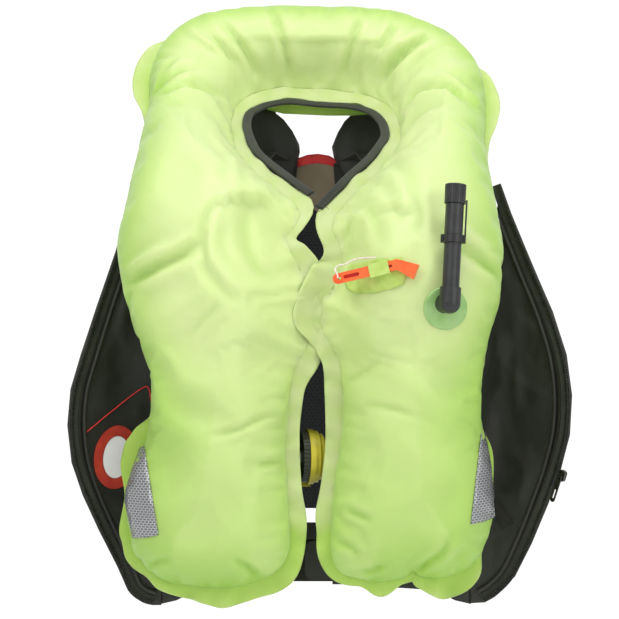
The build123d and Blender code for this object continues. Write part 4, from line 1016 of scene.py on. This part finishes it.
def crumple(x, z, seed):
    """Nylon wrinkles: ridged noise at two sizes."""
    out = []
    for a, b in zip(x, z):
        p = Vector((a * 13 + seed, b * 9, seed * 1.7))
        q = Vector((a * 34 + seed, b * 22, seed))
        out.append(0.0042 * (noise.ridged_multi_fractal(p, 0.9, 2.1, 3, 1.0, 2.0) - 1.0)
                   + 0.0009 * (noise.fractal(q, 0.8, 2.0, 3)))
    return np.array(out)


def cloth_sheet(name, outline, at, step=0.004, seed=1, still=(), rim=0.018):
    """A sheet of wrinkled cloth with this outline; the rim and the still circles stay flat."""
    outline = np.array(outline, float) * MM
    flat, triangles = flat_sheet(outline, step, 0.5, shift=True)
    amount = smoothstep(rim * 0.7, rim * 1.8, seg_distance(flat, outline, closed=True)[0])
    for cx, cz, r in still:
        amount = amount * smoothstep(r, r * 1.5, np.hypot(flat[:, 0] - cx, flat[:, 1] - cz))
    out = crumple(flat[:, 0], flat[:, 1], seed) * amount
    return thicken(new_mesh(name, at(flat[:, 0], flat[:, 1], out), triangles), 0.0012)


def outline_inset(outline, inset):
    """A flap's free edge moved in, as a path in the front view, from the top tip to the foot."""
    line = catmull(np.array(outline[3:-1], float) * MM, 300)
    t = unit(np.gradient(line, axis=0))
    n = np.stack([-t[:, 1], t[:, 0]], 1)
    mid = line.mean(0)
    n = n if ((mid - line) * n).sum(1).mean() > 0 else -n
    return line + n * inset


def edge_path(outline, side, inset, out):
    """A flap's free edge moved in by inset and lifted by out, with the normal along it."""
    q = outline_inset(outline, inset)
    q[:, 0] = np.clip(np.abs(q[:, 0]), 0.1672, 0.28) * side
    p = flap_at(q[:, 0], q[:, 1], np.full(len(q), out))
    return p, unit(flap_at(q[:, 0], q[:, 1], np.full(len(q), out + 0.001)) - p)


flaps = {}
for side, name, outline, still in (
    (-1, "left", LEFT_FLAP, ((-0.214, -0.326, 0.038),)),  # flat under the window
    (1, "right", RIGHT_FLAP, ((0.1985, -0.388, 0.020),)),  # flat under the grab strap
):
    flaps[name] = cloth_sheet(f"cover_flap_cloth_{name}", outline, flap_at, seed=3 + side, still=still)
    attach(flaps[name], "cover_nylon", "cover_black", f"cover_flap_{name}")
    p, n = edge_path(outline, side, 0.0052, 0.0018)
    tape = ribbon(f"zip_tape_strip_{name}", p, n, 0.0105, 0.0009)
    attach(tape, "binding_tape", "cover_black", f"zip_tape_{name}")
    p, n = edge_path(outline, side, 0.0145, 0.0030)
    piping = ribbon(f"piping_cord_{name}", p, n, 0.0048, 0.0044, 8, 1.0)
    attach(piping, "cover_nylon", "piping_dark", f"piping_{name}")
    tp, tn, td = spaced(*edge_path(outline, side, 0.0030, 0.0023), 0.0027)
    teeth = blocks(f"zip_teeth_row_{name}", tp, tn, np.cross(td, tn), 0.0040, 0.0016, 0.0017)
    attach(teeth, "zip_plastic", "plastic_black", f"zip_teeth_{name}")
    rows = [spaced(*edge_path(outline, side, *at), 0.0042) for at in ((0.0098, 0.0019), (0.0185, 0.0011))]
    stitches = blocks(f"zip_stitches_{name}", *map(np.vstack, zip(*rows)), 0.0027, 0.0005, 0.0004)
    attach(stitches, "dark_thread", "cover_black")


def flat_at(y):
    def at(x, z, out):
        return np.stack([x, np.full(len(x), y) - out, z], -1)
    return at


PANEL = [
    (16.5, -112), (167.2, -112), (167.2, -485), (150, -481), (128, -470), (82, -467), (46, -454),
    (26, -442), (16.5, -426),
]
for side, name in ((-1, "left"), (1, "right")):
    panel = cloth_sheet(f"vest_front_cloth_{name}", [(side * x, z) for x, z in PANEL], flat_at(-0.1108),
                        seed=9 + side, rim=0.012)
    attach(panel, "cover_nylon", "cover_black", f"vest_front_{name}")


# Cloth seen through the neck opening: the cover's two inner folds, the yoke and its red edge.
def through_neck(y_near, y_far, x_edge):
    """Depth of a fold that turns away from the camera towards its inner edge."""
    def at(x, z, out):
        t = np.clip(np.abs(x - x_edge) / 0.03, 0, 1)
        y = y_far + (y_near - y_far) * np.sqrt(1 - (1 - t) ** 2) - out * 0.6
        return np.stack(seen(x, z, y), -1)
    return at


NECK_FOLD_LEFT = [
    (-88, 52), (-60, 46), (-44, 40), (-34, 32), (-25, 20), (-18, 6), (-17, -2), (-20, -14), (-24, -24),
    (-25, -34), (-34, -40), (-58, -30), (-84, -4), (-96, 24),
]
NECK_FOLD_RIGHT = [
    (88, 50), (58, 46), (38, 38), (30, 30), (23, 18), (17, 3), (19, -8), (26, -20), (31, -28),
    (32, -40), (44, -42), (62, -24), (82, 0), (96, 24),
]
for name, outline, x_edge in (("left", NECK_FOLD_LEFT, -0.018), ("right", NECK_FOLD_RIGHT, 0.018)):
    fold = cloth_sheet(f"cover_neck_fold_{name}", outline, through_neck(0.098, 0.113, x_edge), step=0.003,
                       seed=21, rim=0.004)
    attach(fold, "cover_nylon", "cover_black")
YOKE = [
    (-19, -9), (-9, -6), (2, -5), (14, -7), (27, -14), (33, -24), (34, -34), (27, -50), (14, -62),
    (2, -66), (-8, -58), (-22, -44), (-27, -34), (-24, -22),
]


def through_at(y):
    def at(x, z, out):
        return np.stack(seen(x, z, np.full(len(x), y) - out * 0.5), -1)
    return at


YOKE_TRIM = [
    (-20, -9), (-9, -5), (2, -4), (14, -6), (28, -14), (30, -20), (27, -20), (13, -15.5), (2, -14),
    (-9, -15), (-20, -18),
]
COLLAR_EDGE = [
    (-60, 50), (-44, 56), (-20, 58), (10, 57), (44, 50), (62, 38), (50, 37), (34, 36), (12, 36),
    (-10, 37), (-34, 38), (-50, 42),
]
# The collar's back seen through the neck is the chamber cloth in painted shade, one deep green throughout.
EDGE_GREEN = srgb(150, 196, 66)
collar_look = chamber_material("collar_edge_cloth", EDGE_GREEN, EDGE_GREEN, srgb(138, 188, 52))
for name, outline, y, rim, look, slot in (
    ("back_yoke_cloth", YOKE, 0.1165, 0.003, "yoke_grey_cloth", "yoke_grey"),
    ("yoke_trim_tape", YOKE_TRIM, 0.1150, 0.002, "yoke_red_trim", "trim_red"),
    ("collar_back_edge", COLLAR_EDGE, 0.079, 0.002, collar_look, "chamber_green"),
):
    seed = 33 + ["yoke_grey", "trim_red", "chamber_green"].index(slot)
    ob = cloth_sheet(name, outline, through_at(y), step=0.003, seed=seed, rim=rim)
    attach(ob, look, slot)
# Painted shade: the collar edge's depth is 0, the deep end of its ramp.
set_tone(ob, np.zeros(len(ob.data.vertices)))

# A red thread sewn across the left flap beside its window.
flap_tree = tree(flaps["left"])
RED_THREAD = [(-241, -296), (-212, -272), (-184, -251), (-176, -250), (-173, -264)]
red_line = catmull(np.array(RED_THREAD, float) * MM, 60)
rp, rn = on_tree(flap_tree, red_line[:, 0], red_line[:, 1])
red_thread = ribbon("flap_red_thread", rp + rn * 0.0008, rn, 0.0013, 0.0011, 5, 1.0)
attach(red_thread, "yoke_red_trim", "trim_red")


# ---- CAD pieces that keep their shape ------------------------------------------------------
for look, names in {
    "cover_nylon": "cover_neck shoulder_left shoulder_right belt_tail",
    "belt_webbing": "back_strap_left back_strap_right belt_back belt_front_left belt_front_right grab_strap",
    "mesh_cloth": "back_mesh", "yoke_grey_cloth": "back_yoke", "yoke_red_trim": "yoke_trim",
    "black_plastic": "inflator_lever belt_adjuster belt_keeper buckle_female buckle_male buckle_prong_lower "
                     "buckle_prong_upper cap_tether",
    "oral_rubber": "oral_elbow oral_tube", "valve_plastic": "oral_valve_body oral_cap oral_poppet",
    "steel": "oral_spring lever_pin gas_cylinder", "zip_metal": "zip_slider zip_pull",
    "inflator_yellow": "inflator_cap inflator_body", "ring_dark_green": "inflator_ring",
    "elastic_loop": "whistle_loop", "whistle_plastic": "whistle_body",
    "window_red": "window_ring", "window_film": "window_film",
}.items():
    for name in names.split():
        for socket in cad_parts[name].material_slots:
            socket.link = "OBJECT"
            socket.material = LOOKS[look].m

# Lanyard from the whistle back to its loop.
WHISTLE_AT = np.array([0.062, -0.246, -0.127])
WHISTLE_TILT = math.radians(13)
WHISTLE_N = unit(np.array([-0.26, -0.965, 0.0]))  # outwards from the lobe
along_whistle = np.array([-WHISTLE_N[1] * math.cos(WHISTLE_TILT), WHISTLE_N[0] * math.cos(WHISTLE_TILT),
                          math.sin(WHISTLE_TILT)])
WHISTLE_X = unit(np.round(along_whistle, 6))
WHISTLE_Y = np.cross(WHISTLE_N, WHISTLE_X)


def whistle_point(x, y, out):
    """A point along, across and out from the whistle, in mm."""
    return WHISTLE_AT + WHISTLE_N * out * MM + WHISTLE_X * x * MM + WHISTLE_Y * y * MM


LANYARD = [
    (5, 0, 9), (5.5, 4.5, 8.6), (2.5, 9.5, 6.2), (6.5, 13.6, 4.0), (14.5, 12.4, 2.4), (19.5, 15.0, 0.8),
    (28, 15.4, -0.8), (37, 14.4, -2.2), (46, 12.2, -3.6),
]
route = [whistle_point(x - 43, y, z + 6.5) for x, y, z in LANYARD]
cu = bpy.data.curves.new("whistle_lanyard_cord", "CURVE")
cu.dimensions = "3D"
sp = cu.splines.new("NURBS")
sp.points.add(len(route) - 1)
for pt, r in zip(sp.points, route):
    pt.co = (*map(float, r), 1.0)
sp.order_u = 3
sp.use_endpoint_u = True
cu.bevel_depth, cu.bevel_resolution, cu.resolution_u = 0.0008, 4, 12
lanyard = bpy.data.objects.new("whistle_lanyard_cord", cu)
bpy.context.scene.collection.objects.link(lanyard)
attach(lanyard, "lanyard_braid", "lanyard_white", "whistle_lanyard")

# Painted shade on the floors of the whistle's two recesses: its orange plastic drawn deep red where it lies
# in shadow.
RECESS = 6.55  # how far out the recess floors lie
far, near = whistle_point(-25, 0, RECESS), whistle_point(15, 0, RECESS)
floors = blocks("whistle_recess_floor", [far, near], [WHISTLE_N] * 2, [WHISTLE_X] * 2, 0.0160, 0.0030, 0.0004)
for v in floors.data.vertices:
    away = np.array(v.co) - near
    if np.linalg.norm(away) < 0.0095:
        v.co = near + away * 0.42
attach(floors, "whistle_recess_shade", "whistle_orange", body="whistle")


# ---- Stage --------------------------------------------------------------------------------
bpy.ops.mesh.primitive_plane_add(size=4.4, location=(0, 0, -0.80))
floor = bpy.context.object
floor.name = "floor"
fm = Mat("studio_floor", rough=0.9)
fm.b.inputs["Base Color"].default_value = (0.93, 0.93, 0.93, 1)
floor.data.materials.append(fm.m)
world = bpy.data.worlds.new("studio")
bpy.context.scene.world = world
world.use_nodes = True
# Bright behind the jacket, dimmer in front of it, so the lamps shape the cloth.
nt = world.node_tree
direction = nt.nodes.new("ShaderNodeTexCoord").outputs["Generated"]
axes = nt.nodes.new("ShaderNodeSeparateXYZ")
nt.links.new(direction, axes.inputs[0])
shade = nt.nodes.new("ShaderNodeMapRange")
nt.links.new(axes.outputs["Y"], shade.inputs["Value"])
for key, value in (("From Min", 0.35), ("From Max", 0.9), ("To Min", 0.66), ("To Max", 1.08)):
    shade.inputs[key].default_value = value
nt.nodes["Background"].inputs["Color"].default_value = (1, 1, 1, 1)
nt.links.new(shade.outputs["Result"], nt.nodes["Background"].inputs["Strength"])
bpy.context.scene.view_settings.view_transform = "Standard"


def area(name, loc, target, size, power, colour=(1, 1, 1)):
    d = bpy.data.lights.new(name, "AREA")
    d.shape, d.size, d.energy, d.color = "SQUARE", size, power, colour
    o = bpy.data.objects.new(name, d)
    bpy.context.scene.collection.objects.link(o)
    o.location = loc
    o.rotation_euler = (Vector(target) - Vector(loc)).to_track_quat("-Z", "Y").to_euler()
    return o


area("key", (-1.1, -1.9, 1.2), (0, -0.1, -0.15), 0.9, 13)
area("fill", (1.5, -1.7, 0.2), (0, -0.1, -0.2), 1.2, 9)
area("top", (0.1, -0.9, 1.8), (0, 0, 0.05), 1.0, 20)
